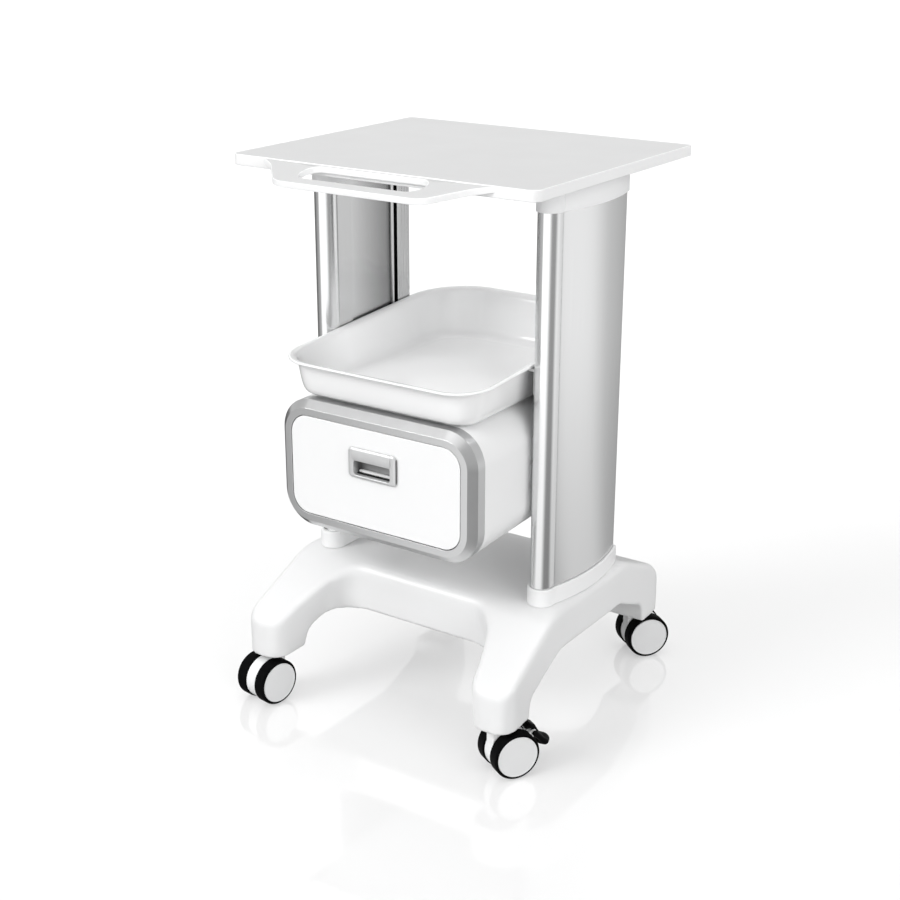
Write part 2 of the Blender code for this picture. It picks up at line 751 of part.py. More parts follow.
def box_mesh():
    """Open drawer box behind the drawer front."""
    outer = rectangle(BOX_HALF, PANEL_BACK_Y + GAP, BOX_REAR_Y, BOX_RADIUS)
    inner = inset(outer, BOX_WALL)
    low = PANEL_BOTTOM + BOX_BOTTOM_ROOM
    high = PANEL_TOP - BOX_TOP_ROOM
    return loft(stack(((low, outer), (high, outer), (high, inner), (low + BOX_WALL, inner)), "Z"))


def rail_inner_mesh(sign):
    """Tee rail on the side of the drawer box."""
    root = BOX_HALF + GAP
    step = root + RAIL_PLATE
    tip = step + RAIL_TONGUE
    web = RAIL_HALF - RAIL_PLATE
    tongue = RAIL_TONGUE_HALF
    profile = (
        (root, -web), (step, -web), (step, -tongue), (tip, -tongue),
        (tip, tongue), (step, tongue), (step, web), (root, web),
    )
    outline = [(sign * u, RAIL_MIDDLE + v) for u, v in profile]
    return prism(outline, BEZEL_BACK_Y + RAIL_FRONT_ROOM, BOX_REAR_Y, "Y")


def rail_outer_mesh(sign):
    """Channel rail on the inner side of the drawer case."""
    mouth_u = BOX_HALF + GAP + RAIL_PLATE + SLIDE_FIT
    groove_u = mouth_u + RAIL_TONGUE
    back_u = CASE_HALF - CASE_WALL - GAP
    groove = RAIL_TONGUE_HALF + SLIDE_FIT
    profile = (
        (mouth_u, -RAIL_HALF), (back_u, -RAIL_HALF), (back_u, RAIL_HALF), (mouth_u, RAIL_HALF),
        (mouth_u, groove), (groove_u, groove), (groove_u, -groove), (mouth_u, -groove),
    )
    outline = [(sign * u, RAIL_MIDDLE + v) for u, v in profile]
    return prism(outline, BEZEL_BACK_Y + RAIL_FRONT_ROOM, BOX_REAR_Y, "Y")


def case_bracket_mesh(sign):
    """Plate between drawer case and column, with two hook notches in its front edge."""
    low = PANEL_BOTTOM + BRACKET_LIFT
    high = low + BRACKET_HEIGHT
    notch_y = BRACKET_FRONT_Y + HOOK_DEPTH
    outline = [
        (BRACKET_FRONT_Y, low),
        (BRACKET_REAR_Y, low),
        (BRACKET_REAR_Y, high),
        (BRACKET_FRONT_Y, high),
    ]
    middle = (low + high) / 2.0
    for notch in (middle + HOOK_PITCH / 2.0, middle - HOOK_PITCH / 2.0):
        top = notch + HOOK_WIDTH / 2.0
        bottom = notch - HOOK_WIDTH / 2.0
        outline += [
            (BRACKET_FRONT_Y, top),
            (notch_y, top),
            (notch_y, bottom),
            (BRACKET_FRONT_Y, bottom),
        ]
    return prism(outline, sign * (CASE_HALF + GAP), sign * (COLUMN_INNER - GAP), "X")


def tray_level(part, y):
    """Height at a part of the way from the level floor of the tray to its sloping rim."""
    return TRAY_BOTTOM + part * (TRAY_HEIGHT + TRAY_RIM_SLOPE * y)


def tray_profile():
    """Section of the wall of the tray: part of its height and distance in from its edge."""
    outside = [
        (0.0, TRAY_FOOT_INSET),
        (TRAY_HEEL_PART, TRAY_HEEL_INSET),
        (TRAY_KNEE_PART, TRAY_KNEE_INSET),
        (TRAY_NECK_PART, TRAY_NECK_INSET),
    ]
    inside = [(part + TRAY_FLOOR_PART, inward + TRAY_WALL) for part, inward in reversed(outside)]
    rim = [
        (TRAY_FLARE_PART, TRAY_RIM),
        (TRAY_LIP_PART, 0.0),
        (1.0, TRAY_LIP_ROUND),
        (1.0, TRAY_LIP_ROUND + TRAY_WALL),
    ]
    return outside + rim + inside


def tray_mesh():
    """Deep tray with a level floor and a thin rolled rim that rises to the rear."""
    half = COLUMN_INNER - TRAY_SIDE_ROOM
    rim = rounded(mirrored((
        (half, TRAY_FRONT_Y, TRAY_FRONT_RADIUS),
        (half, TRAY_REAR_Y, TRAY_REAR_RADIUS),
    )))
    loops = []
    for part, inward in tray_profile():
        loops.append([Vector((x, y, tray_level(part, y))) for x, y in inset(rim, inward)])
    return loft(loops)


def tray_bracket_mesh(sign):
    """Angle on a column's inner side whose ledge carries the rim of the tray."""
    outer = sign * (COLUMN_INNER - GAP)
    plate = outer - sign * TRAY_BRACKET_PLATE
    ledge = sign * (COLUMN_INNER - TRAY_SIDE_ROOM - TRAY_RIM)
    ends = (BRACKET_FRONT_Y, BRACKET_REAR_Y)
    tops = [(y, tray_level(TRAY_FLARE_PART, y) - TRAY_BRACKET_SINK) for y in ends]
    feet = [(y, top - TRAY_BRACKET_HEIGHT) for y, top in tops]
    lips = [(y, top - TRAY_BRACKET_PLATE) for y, top in tops]
    upright = prism(feet + tops[::-1], plate, outer, "X")
    shelf = prism(lips + tops[::-1], ledge, outer, "X")
    return join(upright, shelf)


def housing_mesh(braked):
    """Body of a caster between its wheels, bored for stem and axle."""
    top = SOCKET_BOTTOM - HOUSING_CLEARANCE
    center = (CASTER_TRAIL, WHEEL_RADIUS)
    half = HOUSING_HALF
    body = prism(circle(HOUSING_RADIUS, WHEEL_SEGMENTS, center), -half, half, "Y")
    neck = (
        (-HOUSING_NECK, WHEEL_RADIUS),
        (HOUSING_NECK, WHEEL_RADIUS),
        (HOUSING_NECK, top),
        (-HOUSING_NECK, top),
    )
    body = join(body, prism(neck, -half + GAP, half - GAP, "Y"))
    if braked:
        hinge = (CASTER_TRAIL + PEDAL_HINGE_OUT, WHEEL_RADIUS + PEDAL_HINGE_UP)
        inner = half - GAP
        lug = prism(bar(center, hinge, PEDAL_LUG_RADIUS), -inner, inner, "Y")
        eye = prism(circle(PEDAL_LUG_RADIUS, PIN_SEGMENTS, hinge), -inner + GAP, inner - GAP, "Y")
        pin = circle(PEDAL_PIN_RADIUS + GAP, PIN_SEGMENTS, hinge)
        body = cut(join(body, lug, eye), prism(pin, -WHEEL_OUTER, WHEEL_OUTER, "Y"))
    axle = circle(AXLE_RADIUS + GAP, PIN_SEGMENTS, center)
    stem = circle(STEM_RADIUS + GAP, PIN_SEGMENTS)
    stem_floor = top - STEM_IN_HOUSING - GAP
    return cut(
        body,
        prism(axle, -WHEEL_OUTER, WHEEL_OUTER, "Y"),
        prism(stem, stem_floor, top + WHEEL_RADIUS),
    )


def stem_mesh():
    """Steel pin that holds a caster in its socket."""
    low = SOCKET_BOTTOM - HOUSING_CLEARANCE - STEM_IN_HOUSING
    return prism(circle(STEM_RADIUS, PIN_SEGMENTS), low, SOCKET_BOTTOM + STEM_IN_SOCKET)


def turned(profile, sign):
    """Rings of a turned piece from its profile of distance along the axle and radius."""
    rings = [(sign * along, circle(radius, WHEEL_SEGMENTS)) for along, radius in profile]
    return stack(rings, "Y")


def tread_mesh(sign):
    """Soft tyre of one wheel round its axle, with rounded shoulders."""
    seat = HUB_RADIUS + GAP
    crown = WHEEL_RADIUS
    shoulder = TREAD_SHOULDER
    profile = (
        (WHEEL_INNER, seat),
        (WHEEL_INNER, crown - TREAD_INNER_EDGE),
        (WHEEL_INNER + TREAD_INNER_EDGE, crown),
        (WHEEL_OUTER - shoulder, crown),
        (WHEEL_OUTER - TREAD_INNER_EDGE, crown - shoulder / 2.0),
        (WHEEL_OUTER, seat),
    )
    return loft(turned(profile, sign), ring=True)


def hub_mesh(sign):
    """Wheel disc with a blind bore for the axle."""
    bore = AXLE_RADIUS + GAP
    face = WHEEL_OUTER + HUB_PROUD
    profile = (
        (AXLE_HALF + GAP, bore),
        (WHEEL_INNER, bore),
        (WHEEL_INNER, HUB_RADIUS),
        (face - HUB_EDGE, HUB_RADIUS),
        (face, HUB_RADIUS - HUB_EDGE),
    )
    return loft(turned(profile, sign))


def bar(start, end, half):
    """Outline of a straight bar between two points, with square ends."""
    first = Vector(start)
    last = Vector(end)
    along = (last - first).normalized()
    across = Vector((-along.y, along.x)) * half
    return [tuple(first - across), tuple(last - across), tuple(last + across), tuple(first + across)]


def pedal_mesh():
    """Brake pedal drawn about its hinge: a prong and a paddle, forked round the housing's lug."""
    hinge = (0.0, 0.0)
    prong = (-PEDAL_PRONG_BACK, PEDAL_PRONG_RISE)
    tip = (PEDAL_TIP_REACH, -PEDAL_TIP_DROP)
    half = PEDAL_THICK / 2.0
    width = PEDAL_HALF
    body = join(
        prism(circle(PEDAL_LUG_RADIUS, PIN_SEGMENTS), -width, width, "Y"),
        prism(bar(hinge, prong, half), -width + GAP, width - GAP, "Y"),
        prism(bar(hinge, tip, half), -width - GAP, width + GAP, "Y"),
        prism(circle(PEDAL_LUG_RADIUS, PIN_SEGMENTS, tip), -width, width, "Y"),
    )
    fork_half = HOUSING_HALF + GAP
    fork_end = PEDAL_LUG_RADIUS + GAP
    far = WHEEL_RADIUS + PEDAL_TIP_REACH
    fork = ((-far, -far), (fork_end, -far), (fork_end, far), (-far, far))
    pin = circle(PEDAL_PIN_RADIUS + GAP, PIN_SEGMENTS)
    return cut(
        body,
        prism(fork, -fork_half, fork_half, "Y"),
        prism(pin, -WHEEL_OUTER, WHEEL_OUTER, "Y"),
    )


def add_caster(name, x, y, heading):
    """Add one caster: a swivelling housing on its stem and two wheels on one axle."""
    braked = name == "front_right"
    swivel = bpy.data.objects.new("caster_" + name, None)
    bpy.context.scene.collection.objects.link(swivel)
    swivel.location = (x, y, 0.0)
    swivel.rotation_euler = (0.0, 0.0, heading)
    axle_spot = (CASTER_TRAIL, 0.0, WHEEL_RADIUS)
    add_piece("stem_" + name, stem_mesh(), STEEL, swivel, smooth=True)
    add_piece("housing_" + name, housing_mesh(braked), WHITE, swivel, smooth=True)
    axle = prism(circle(AXLE_RADIUS, PIN_SEGMENTS), -AXLE_HALF, AXLE_HALF, "Y")
    add_piece("axle_" + name, axle, STEEL, swivel, axle_spot, smooth=True)
    for hand, sign in (("a", -1.0), ("b", 1.0)):
        add_piece("tread_" + name + "_" + hand, tread_mesh(sign), BLACK, swivel, axle_spot, smooth=True)
        add_piece("hub_" + name + "_" + hand, hub_mesh(sign), LIGHT_GREY, swivel, axle_spot, smooth=True)
    if braked:
        hinge = (CASTER_TRAIL + PEDAL_HINGE_OUT, 0.0, WHEEL_RADIUS + PEDAL_HINGE_UP)
        pin = prism(circle(PEDAL_PIN_RADIUS, PIN_SEGMENTS), -PEDAL_HALF, PEDAL_HALF, "Y")
        add_piece("brake_pin", pin, STEEL, swivel, hinge, smooth=True)
        add_piece("brake_pedal", pedal_mesh(), BLACK, swivel, hinge)


def build():
    """Build every piece of the cart."""
    clear_scene()
    add_piece("base_cover", base_mesh(), WHITE, smooth=True)
    add_piece("chassis", chassis_mesh(), GREY_PAINT)
    add_piece("table_top", table_mesh(), TABLE_WHITE)
    add_piece("drawer_case", case_mesh(), WHITE, smooth=True)
    add_piece("drawer_bezel", bezel_mesh(), SILVER, smooth=True)
    add_piece("drawer_front", front_mesh(), WHITE)
    add_piece("drawer_pull", pull_mesh(), SILVER, smooth=True)
    add_piece("drawer_box", box_mesh(), WHITE)
    add_piece("tray", tray_mesh(), GLOSS_WHITE, smooth=True)
    for side, sign in SIDES:
        add_piece("column_" + side, column_mesh(sign), ALUMINIUM, smooth=True)
        add_piece("column_cover_" + side, cover_mesh(sign), ALUMINIUM, smooth=True)
        add_piece("boot_" + side, boot_mesh(sign), WHITE, smooth=True)
        add_piece("cap_" + side, cap_mesh(sign), LIGHT_GREY, smooth=True)
        add_piece("case_bracket_" + side, case_bracket_mesh(sign), STEEL)
        add_piece("tray_bracket_" + side, tray_bracket_mesh(sign), STEEL)
        add_piece("rail_outer_" + side, rail_outer_mesh(sign), STEEL)
        add_piece("rail_inner_" + side, rail_inner_mesh(sign), STEEL)
    for name, x, y, heading in swivel_spots():
        add_caster(name, x, y, heading)


build()
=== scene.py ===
"""Looks of an instrument cart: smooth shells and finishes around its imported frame.

Metres, +Z up, +Y to the rear, +X to the right of the cart seen from its front.
"""
import logging
import math
from dataclasses import dataclass
from enum import Enum
from typing import Optional, Sequence

import bmesh
import bpy
import numpy as np
from mathutils import Matrix, Vector


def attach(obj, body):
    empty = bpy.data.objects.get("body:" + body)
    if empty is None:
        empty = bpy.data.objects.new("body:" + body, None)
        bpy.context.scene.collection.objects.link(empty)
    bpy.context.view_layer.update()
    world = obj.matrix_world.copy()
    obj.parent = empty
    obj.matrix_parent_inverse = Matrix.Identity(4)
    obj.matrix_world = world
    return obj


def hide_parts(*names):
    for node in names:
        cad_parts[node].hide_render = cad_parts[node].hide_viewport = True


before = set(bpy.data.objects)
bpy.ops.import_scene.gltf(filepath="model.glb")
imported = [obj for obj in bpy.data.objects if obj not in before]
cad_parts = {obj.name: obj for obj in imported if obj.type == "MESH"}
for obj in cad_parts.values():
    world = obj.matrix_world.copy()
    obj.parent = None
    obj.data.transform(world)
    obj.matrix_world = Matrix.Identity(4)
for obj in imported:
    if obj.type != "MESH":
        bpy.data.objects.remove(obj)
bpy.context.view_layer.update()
LOG = logging.getLogger("instrument_cart")

Array = np.ndarray
Corner = tuple[float, float, float]
Color = tuple[float, float, float]
Point = tuple[float, float, float]
Spot = tuple[float, float]
Pairs = tuple[tuple[float, float], ...]

# Clearance between pieces that seat on each other
FIT = 0.0003
# Radius of a corner that stays sharp, and tolerance of a test for lying on a face
TINY = 0.00001
# Least length or rise of an outline's side that is divided by
LEAST = 1e-16
# Shares by which a round of smoothing moves points towards their neighbours, and back
RELAX_SHARES = (0.5, -0.53)
# Angle in degrees above which an edge of a smoothed surface stays sharp
NET_SHARP = 60.0
SIDES = (("left", -1.0), ("right", 1.0))
# Steel pieces of each side that keep the shape of their nodes
STEEL_PIECES = ("case_bracket", "tray_bracket", "rail_outer", "rail_inner")


class Axis(Enum):
    """Axis of the cart along which a flat outline is lifted."""

    X = 0
    Y = 1
    Z = 2


class Grain(Enum):
    """How the surface of a finish varies from place to place."""

    MOULDED = "moulded"
    BRUSHED = "brushed"
    FLAKE = "flake"


class Body(str, Enum):
    """Bodies of the frame that aren't part of a caster."""

    CART = "cart"
    DRAWER = "drawer"


# Finishes

WHITE = (1.0, 1.0, 1.0, 1.0)
# Brushed lines are noise drawn out along Z
BRUSH_STRETCH = (1.0, 1.0, 0.012)
BROAD_NOISE = {"Detail": 4.0, "Roughness": 0.55}
FINE_NOISE = {"Detail": 2.0, "Roughness": 0.6}
# Broad noise at which the colour is a finish's color and its tint
TINT_STOPS = (0.35, 0.68)
# Broad noise between which the roughness changes
ROUGH_SPAN = {"From Min": 0.3, "From Max": 0.7}
# How the points' painted shade scales the colour of a darkened finish, and of one with a painted glow
DARKENED_SPAN = {"To Min": 1.0, "To Max": 0.02}
GLOWING_SPAN = {"From Min": -1.0, "From Max": 0.0}
COAT_ROUGHNESS = 0.12


class Graph:
    """Node tree of one material, with short calls to add and join nodes."""

    def __init__(self, tree: bpy.types.NodeTree) -> None:
        """Take over a tree and empty it.

        Args:
            tree: node tree of a material or a world.
        """
        self.tree = tree
        tree.nodes.clear()

    def add(self, kind: str, inputs: Optional[dict] = None, **settings: object) -> bpy.types.Node:
        """Add a node.

        Args:
            kind: Blender's name of the node type.
            inputs: value, or socket to join, for each input by name.
            settings: properties of the node itself.

        Returns:
            The new node.
        """
        node = self.tree.nodes.new(kind)
        for name, value in settings.items():
            setattr(node, name, value)
        for name, value in (inputs or {}).items():
            if isinstance(value, bpy.types.NodeSocket):
                self.tree.links.new(value, node.inputs[name])
            else:
                node.inputs[name].default_value = value
        return node


@dataclass(frozen=True)
class Finish:
    """One finish of the cart: its colours, gloss and fine relief.

    Patch and pitch are the scales of its broad and fine noise, and relief and strength the
    height and weight of its bumps.
    """

    name: str
    slot: str
    color: Color
    tint: Color
    roughness: float
    spread: float
    grain: Grain = Grain.MOULDED
    metallic: float = 0.0
    coat: float = 0.0
    patch: float = 14.0
    pitch: float = 240.0
    relief: float = 0.000012
    strength: float = 0.25
    specular: float = 0.5
    # Whether the points' shade darkens the colour: painted shade on columns, bezel and pull, and the grey of
    # the table top
    darkened: bool = False
    # Painted glow of points whose shade is above 0; below 0 their shade paints shade
    glow: float = 0.0

    def material(self) -> bpy.types.Material:
        """Make the material once and hand it out again later.

        Broad noise moves the colour between color and tint and the roughness by spread;
        fine noise, or cells on flaked metal, gives the relief. On brushed metal both are drawn
        out along Z. The points' shade darkens the colour as painted shade; on a finish with a
        glow, shade below 0 is painted shade and shade above 0 a painted glow.

        Returns:
            The Blender material of this finish.
        """
        known = bpy.data.materials.get(self.name)
        if known is not None:
            return known
        material = bpy.data.materials.new(self.name)
        material.use_nodes = True
        graph = Graph(material.node_tree)
        place = graph.add("ShaderNodeTexCoord").outputs["Object"]
        if self.grain is Grain.BRUSHED:
            drawn = graph.add("ShaderNodeMapping", {"Vector": place, "Scale": BRUSH_STRETCH})
            place = drawn.outputs["Vector"]
        broad = graph.add("ShaderNodeTexNoise", {"Vector": place, "Scale": self.patch, **BROAD_NOISE})
        fine = graph.add("ShaderNodeTexNoise", {"Vector": place, "Scale": self.pitch, **FINE_NOISE})
        height = fine.outputs["Fac"]
        if self.grain is Grain.FLAKE:
            cells = graph.add("ShaderNodeTexVoronoi", {"Vector": place, "Scale": self.pitch})
            height = cells.outputs["Distance"]
        ramp = graph.add("ShaderNodeValToRGB", {"Fac": broad.outputs["Fac"]})
        for stop, position, tone in zip(ramp.color_ramp.elements, TINT_STOPS, (self.color, self.tint)):
            stop.position = position
            stop.color = (*tone, 1.0)
        color = ramp.outputs["Color"]
        shade = graph.add("ShaderNodeAttribute", attribute_name="shade").outputs["Fac"]
        # The shade attribute paints shade by darkening the colour
        if self.darkened or self.glow > 0.0:
            span = DARKENED_SPAN if self.darkened else GLOWING_SPAN
            dark = graph.add("ShaderNodeMapRange", {"Value": shade, **span})
            color = graph.add("ShaderNodeVectorMath", {
                0: color, "Scale": dark.outputs["Result"]}, operation="SCALE").outputs["Vector"]
        rough = graph.add("ShaderNodeMapRange", {
            "Value": broad.outputs["Fac"], **ROUGH_SPAN,
            "To Min": self.roughness - self.spread, "To Max": self.roughness + self.spread})
        bump = graph.add("ShaderNodeBump", {
            "Height": height, "Strength": self.strength, "Distance": self.relief})
        shader = graph.add("ShaderNodeBsdfPrincipled", {
            "Base Color": color, "Roughness": rough.outputs["Result"],
            "Normal": bump.outputs["Normal"], "Metallic": self.metallic,
            "Coat Weight": self.coat, "Coat Roughness": COAT_ROUGHNESS,
            "Specular IOR Level": self.specular})
        # Painted glow: the shade attribute drives emission on a surface that is no lamp
        if self.glow > 0.0:
            painted_light = graph.add(
                "ShaderNodeMath", {0: shade, 1: self.glow}, operation="MULTIPLY", use_clamp=True)
            material.node_tree.links.new(painted_light.outputs["Value"], shader.inputs["Emission Strength"])
        graph.add("ShaderNodeOutputMaterial", {"Surface": shader.outputs["BSDF"]})
        return material


SHELL_WHITE = Finish(
    "shell_white", "white_plastic", (0.878, 0.881, 0.883), (0.886, 0.888, 0.890), 0.32, 0.03, darkened=True)
# Darker copy of the shell's white plastic, painting the shade that falls on the base
BASE_SHADED_WHITE = Finish("base_shaded_white", "white_plastic", (0.800, 0.803, 0.805), (0.807, 0.809, 0.811), 0.32, 0.03)
TABLE_WHITE = Finish(
    "table_white", "table_plastic", (0.906, 0.909, 0.911), (0.916, 0.918, 0.920), 0.36, 0.04,
    pitch=300.0, relief=0.00001, darkened=True)
# Tray plastic whose inside gets a painted glow from the points' shade
TRAY_WHITE = Finish(
    "tray_white", "tray_plastic", (0.925, 0.928, 0.930), (0.935, 0.937, 0.939), 0.16, 0.03,
    coat=0.5, patch=9.0, pitch=160.0, relief=0.00002, glow=0.14)
ALUMINIUM = Finish(
    "satin_aluminium", "column_metal", (0.81, 0.813, 0.816), (0.825, 0.828, 0.83), 0.25, 0.008, Grain.BRUSHED,
    metallic=1.0, patch=420.0, pitch=2400.0, relief=0.000002, strength=0.03, darkened=True)
SILVER = Finish(
    "satin_silver", "silver_trim", (0.615, 0.618, 0.621), (0.630, 0.633, 0.636), 0.30, 0.015, Grain.FLAKE,
    metallic=1.0, patch=60.0, pitch=2600.0, relief=0.000003, strength=0.003, darkened=True)
PULL_SILVER = Finish(
    "pale_silver", "silver_trim", (0.60, 0.603, 0.606), (0.63, 0.633, 0.635), 0.32, 0.03, Grain.FLAKE,
    metallic=0.45, patch=60.0, pitch=2600.0, relief=0.000003, strength=0.006, darkened=True)
CAP_GREY = Finish("cap_grey", "cap_plastic", (0.905, 0.908, 0.911), (0.918, 0.921, 0.923), 0.36, 0.04)
HUB_GREY = Finish("hub_grey", "hub_plastic", (0.770, 0.774, 0.777), (0.785, 0.788, 0.791), 0.42, 0.05)
RUBBER = Finish(
    "tread_black", "tread_rubber", (0.0022, 0.0022, 0.0024), (0.0045, 0.0045, 0.0048), 0.55, 0.08,
    patch=70.0, pitch=700.0, relief=0.0001, strength=0.3, specular=0.02)
PEDAL_BLACK = Finish(
    "pedal_black", "black_plastic", (0.0025, 0.0025, 0.0027), (0.005, 0.005, 0.0053), 0.45, 0.06,
    patch=60.0, specular=0.08)
STEEL = Finish(
    "plain_steel", "bare_steel", (0.52, 0.525, 0.53), (0.62, 0.623, 0.627), 0.38, 0.08, Grain.BRUSHED,
    metallic=1.0, patch=90.0, pitch=1200.0, relief=0.00002, strength=0.05)
GREY_COAT = Finish(
    "grey_coat", "grey_paint", (0.46, 0.464, 0.468), (0.54, 0.543, 0.547), 0.44, 0.08, patch=40.0,
    pitch=400.0, relief=0.00003, strength=0.4)


# Surfaces worked out as arrays


@dataclass(frozen=True)
class Shell:
    """A closed surface: its points and the corners of each face."""

    points: Array
    faces: list


def rounded_outline(corners: Sequence[Corner], steps: int = 12) -> Array:
    """Closed outline whose corners are arcs.

    The arc of a corner touches both of its sides, so its middle lies on the bisector at
    radius / sin(half the corner's angle), and its ends at radius / tan(half) along the sides.

    Args:
        corners: (u, v, radius) of each corner in order.
        steps: pieces in each arc.

    Returns:
        Points of the outline, (count, 2).
    """
    table = np.array(corners, float)
    spots, radii = table[:, :2], table[:, 2]
    back = np.roll(spots, 1, 0) - spots
    back /= np.linalg.norm(back, axis=1, keepdims=True)
    ahead = np.roll(spots, -1, 0) - spots
    ahead /= np.linalg.norm(ahead, axis=1, keepdims=True)
    half = np.arccos(np.clip((back * ahead).sum(1), -1.0, 1.0)) / 2.0
    bisector = back + ahead
    bisector /= np.linalg.norm(bisector, axis=1, keepdims=True)
    middle = spots + bisector * (radii / np.sin(half))[:, None]
    start = spots + back * (radii / np.tan(half))[:, None] - middle
    end = spots + ahead * (radii / np.tan(half))[:, None] - middle
    first = np.arctan2(start[:, 1], start[:, 0])
    sweep = (np.arctan2(end[:, 1], end[:, 0]) - first + np.pi) % (2.0 * np.pi) - np.pi
    angle = first[:, None] + sweep[:, None] * np.linspace(0.0, 1.0, steps + 1)
    arc = np.stack((np.cos(angle), np.sin(angle)), -1) * radii[:, None, None]
    return (middle[:, None] + arc).reshape(-1, 2)


def rectangle(half: float, low: float, high: float, radius: float, steps: int = 12) -> Array:
    """Outline of a rounded rectangle around u = 0.

    Args:
        half: half of its width.
        low: lowest v.
        high: highest v.
        radius: radius of its corners.
        steps: pieces in each corner.

    Returns:
        Points of the outline, counter-clockwise.
    """
    corners = ((-half, low, radius), (half, low, radius), (half, high, radius), (-half, high, radius))
    return rounded_outline(corners, steps)


def mirrored(right_half: Sequence[Corner]) -> list[Corner]:
    """Corners of a whole outline from its right half, listed from front to rear.

    Args:
        right_half: corners with u above 0.

    Returns:
        The corners of both halves, counter-clockwise.
    """
    return list(right_half) + [(-u, v, radius) for u, v, radius in reversed(right_half)]


def on_side(outline: Array, sign: float) -> Array:
    """Outline for one side of the cart from the one for the right side.

    Args:
        outline: counter-clockwise outline for the right side.
        sign: 1 for right, -1 for left.

    Returns:
        The outline, still counter-clockwise.
    """
    return outline if sign > 0.0 else outline[::-1] * np.array((-1.0, 1.0))


def mitres(outline: Array) -> Array:
    """Outward move of each point of an outline per metre of growth.

    The move follows the bisector of the two sides' normals, lengthened so that both sides
    move out by one metre.

    Args:
        outline: counter-clockwise points.

    Returns:
        One vector for each point.
    """
    ahead = np.roll(outline, -1, 0) - outline
    ahead /= np.linalg.norm(ahead, axis=1, keepdims=True)
    normal = np.stack((ahead[:, 1], -ahead[:, 0]), -1)
    bisector = normal + np.roll(normal, 1, 0)
    bisector /= np.linalg.norm(bisector, axis=1, keepdims=True)
    return bisector / (bisector * normal).sum(1)[:, None]


def lift(flat: Array, level: Array, axis: Axis) -> Array:
    """Put flat points at levels along an axis.

    Args:
        flat: points (..., 2) in the plane across the axis.
        level: level of each point, spread over flat's leading sizes.
        axis: axis of the lift.

    Returns:
        Points (..., 3).
    """
    spread = np.broadcast_to(level, flat.shape[:-1])
    return np.insert(flat, axis.value, 0.0, -1) + spread[..., None] * np.eye(3)[axis.value]


def carry(outline: Array, profile: Array, axis: Axis) -> Array:
    """Loops of a profile carried round an outline.

    Point j of loop k is outline point j moved out by grow k along its mitre, at level k.

    Args:
        outline: counter-clockwise outline.
        profile: (grow, level) of each loop.
        axis: axis of the levels.

    Returns:
        Loops, (loops, points, 3).
    """
    flat = outline[None] + profile[:, 0, None, None] * mitres(outline)[None]
    return lift(flat, profile[:, 1, None], axis)


def quarter(steps: int = 5) -> Array:
    """Points (1 - cos, 1 - sin) of a quarter turn, from (0, 1) to (1, 0).

    Args:
        steps: pieces in the quarter.

    Returns:
        The points, (steps + 1, 2).
    """
    angle = np.linspace(0.0, np.pi / 2.0, steps + 1)
    return np.stack((1.0 - np.cos(angle), 1.0 - np.sin(angle)), -1)


def unit_arc(first: float, last: float, count: int, closed: bool = False) -> Array:
    """Points (cos, sin) at even angles.

    Args:
        first: angle of the first point.
        last: angle of the last point, or of its successor on a closed circle.
        count: number of points.
        closed: whether the points go all the way round.

    Returns:
        The points, (count, 2).
    """
    angle = np.linspace(first, last, count, endpoint=not closed)
    return np.stack((np.cos(angle), np.sin(angle)), -1)


def shifted(profile: Sequence[Spot], grow: float, level: float) -> Array:
    """Profile moved out by grow and along its axis by level.

    Args:
        profile: (grow, level) pairs.
        grow: how far it moves out.
        level: how far it moves along.

    Returns:
        The moved pairs.
    """
    return np.array(profile) + np.array((grow, level))


def slab_profile(low: float, high: float, edge: float, flat: float = 0.0015) -> Array:
    """Profile of a slab whose two edges are quarter rounds.

    A last loop further in on each flat keeps the round's shading off the flat.

    Args:
        low: level of the lower flat.
        high: level of the upper flat.
        edge: radius of the rounds.
        flat: how far in the last loop lies.

    Returns:
        (grow, level) pairs from low to high.
    """
    turn = quarter() * edge
    upper = np.stack((-turn[:, 0], high - turn[:, 1]), -1)
    lower = np.stack((-turn[::-1, 0], low + turn[::-1, 1]), -1)
    ends = np.array(((-edge - flat, low), (-edge - flat, high)))
    return np.concatenate((ends[:1], lower, upper, ends[1:]))


def soften(points: Array, rounds: int = 3) -> Array:
    """Round an open line by cutting its corners.

    Each piece is replaced by its points at one and three quarters, and the ends stay.

    Args:
        points: points of the line.
        rounds: how often the corners are cut.

    Returns:
        Points of the smooth line.
    """
    for _ in range(rounds):
        before, after = points[:-1], points[1:]
        cut = np.stack((0.75 * before + 0.25 * after, 0.25 * before + 0.75 * after), 1)
        points = np.concatenate((points[:1], cut.reshape(-1, points.shape[1]), points[-1:]))
    return points


def skin(loops: Array, ring: bool = False) -> Shell:
    """Quads between neighbouring loops, capped at both ends or closed to a ring.

    Args:
        loops: (loops, points, 3), each loop closed.
        ring: whether the last loop joins the first.

    Returns:
        The closed surface.
    """
    rows, count = loops.shape[:2]
    index = np.arange(rows * count).reshape(rows, count)
    lower = index if ring else index[:-1]
    upper = np.roll(index, -1, 0) if ring else index[1:]
    quads = np.stack((lower, np.roll(lower, -1, 1), np.roll(upper, -1, 1), upper), -1)
    faces = quads.reshape(-1, 4).tolist()
    if not ring:
        faces += [index[0, ::-1].tolist(), index[-1].tolist()]
    return Shell(loops.reshape(-1, 3), faces)


def turned(profile: Array, segments: int = 96) -> Array:
    """Loops of a profile turned about the Y axis.

    Loop k is the circle of radius k in the plane y = along k.

    Args:
        profile: (along, radius) of each loop.
        segments: points in each circle.

    Returns:
        Loops, (loops, segments, 3).
    """
    circle = unit_arc(0.0, 2.0 * np.pi, segments, closed=True)
    return lift(profile[:, 1, None, None] * circle[None], profile[:, 0, None], Axis.Y)


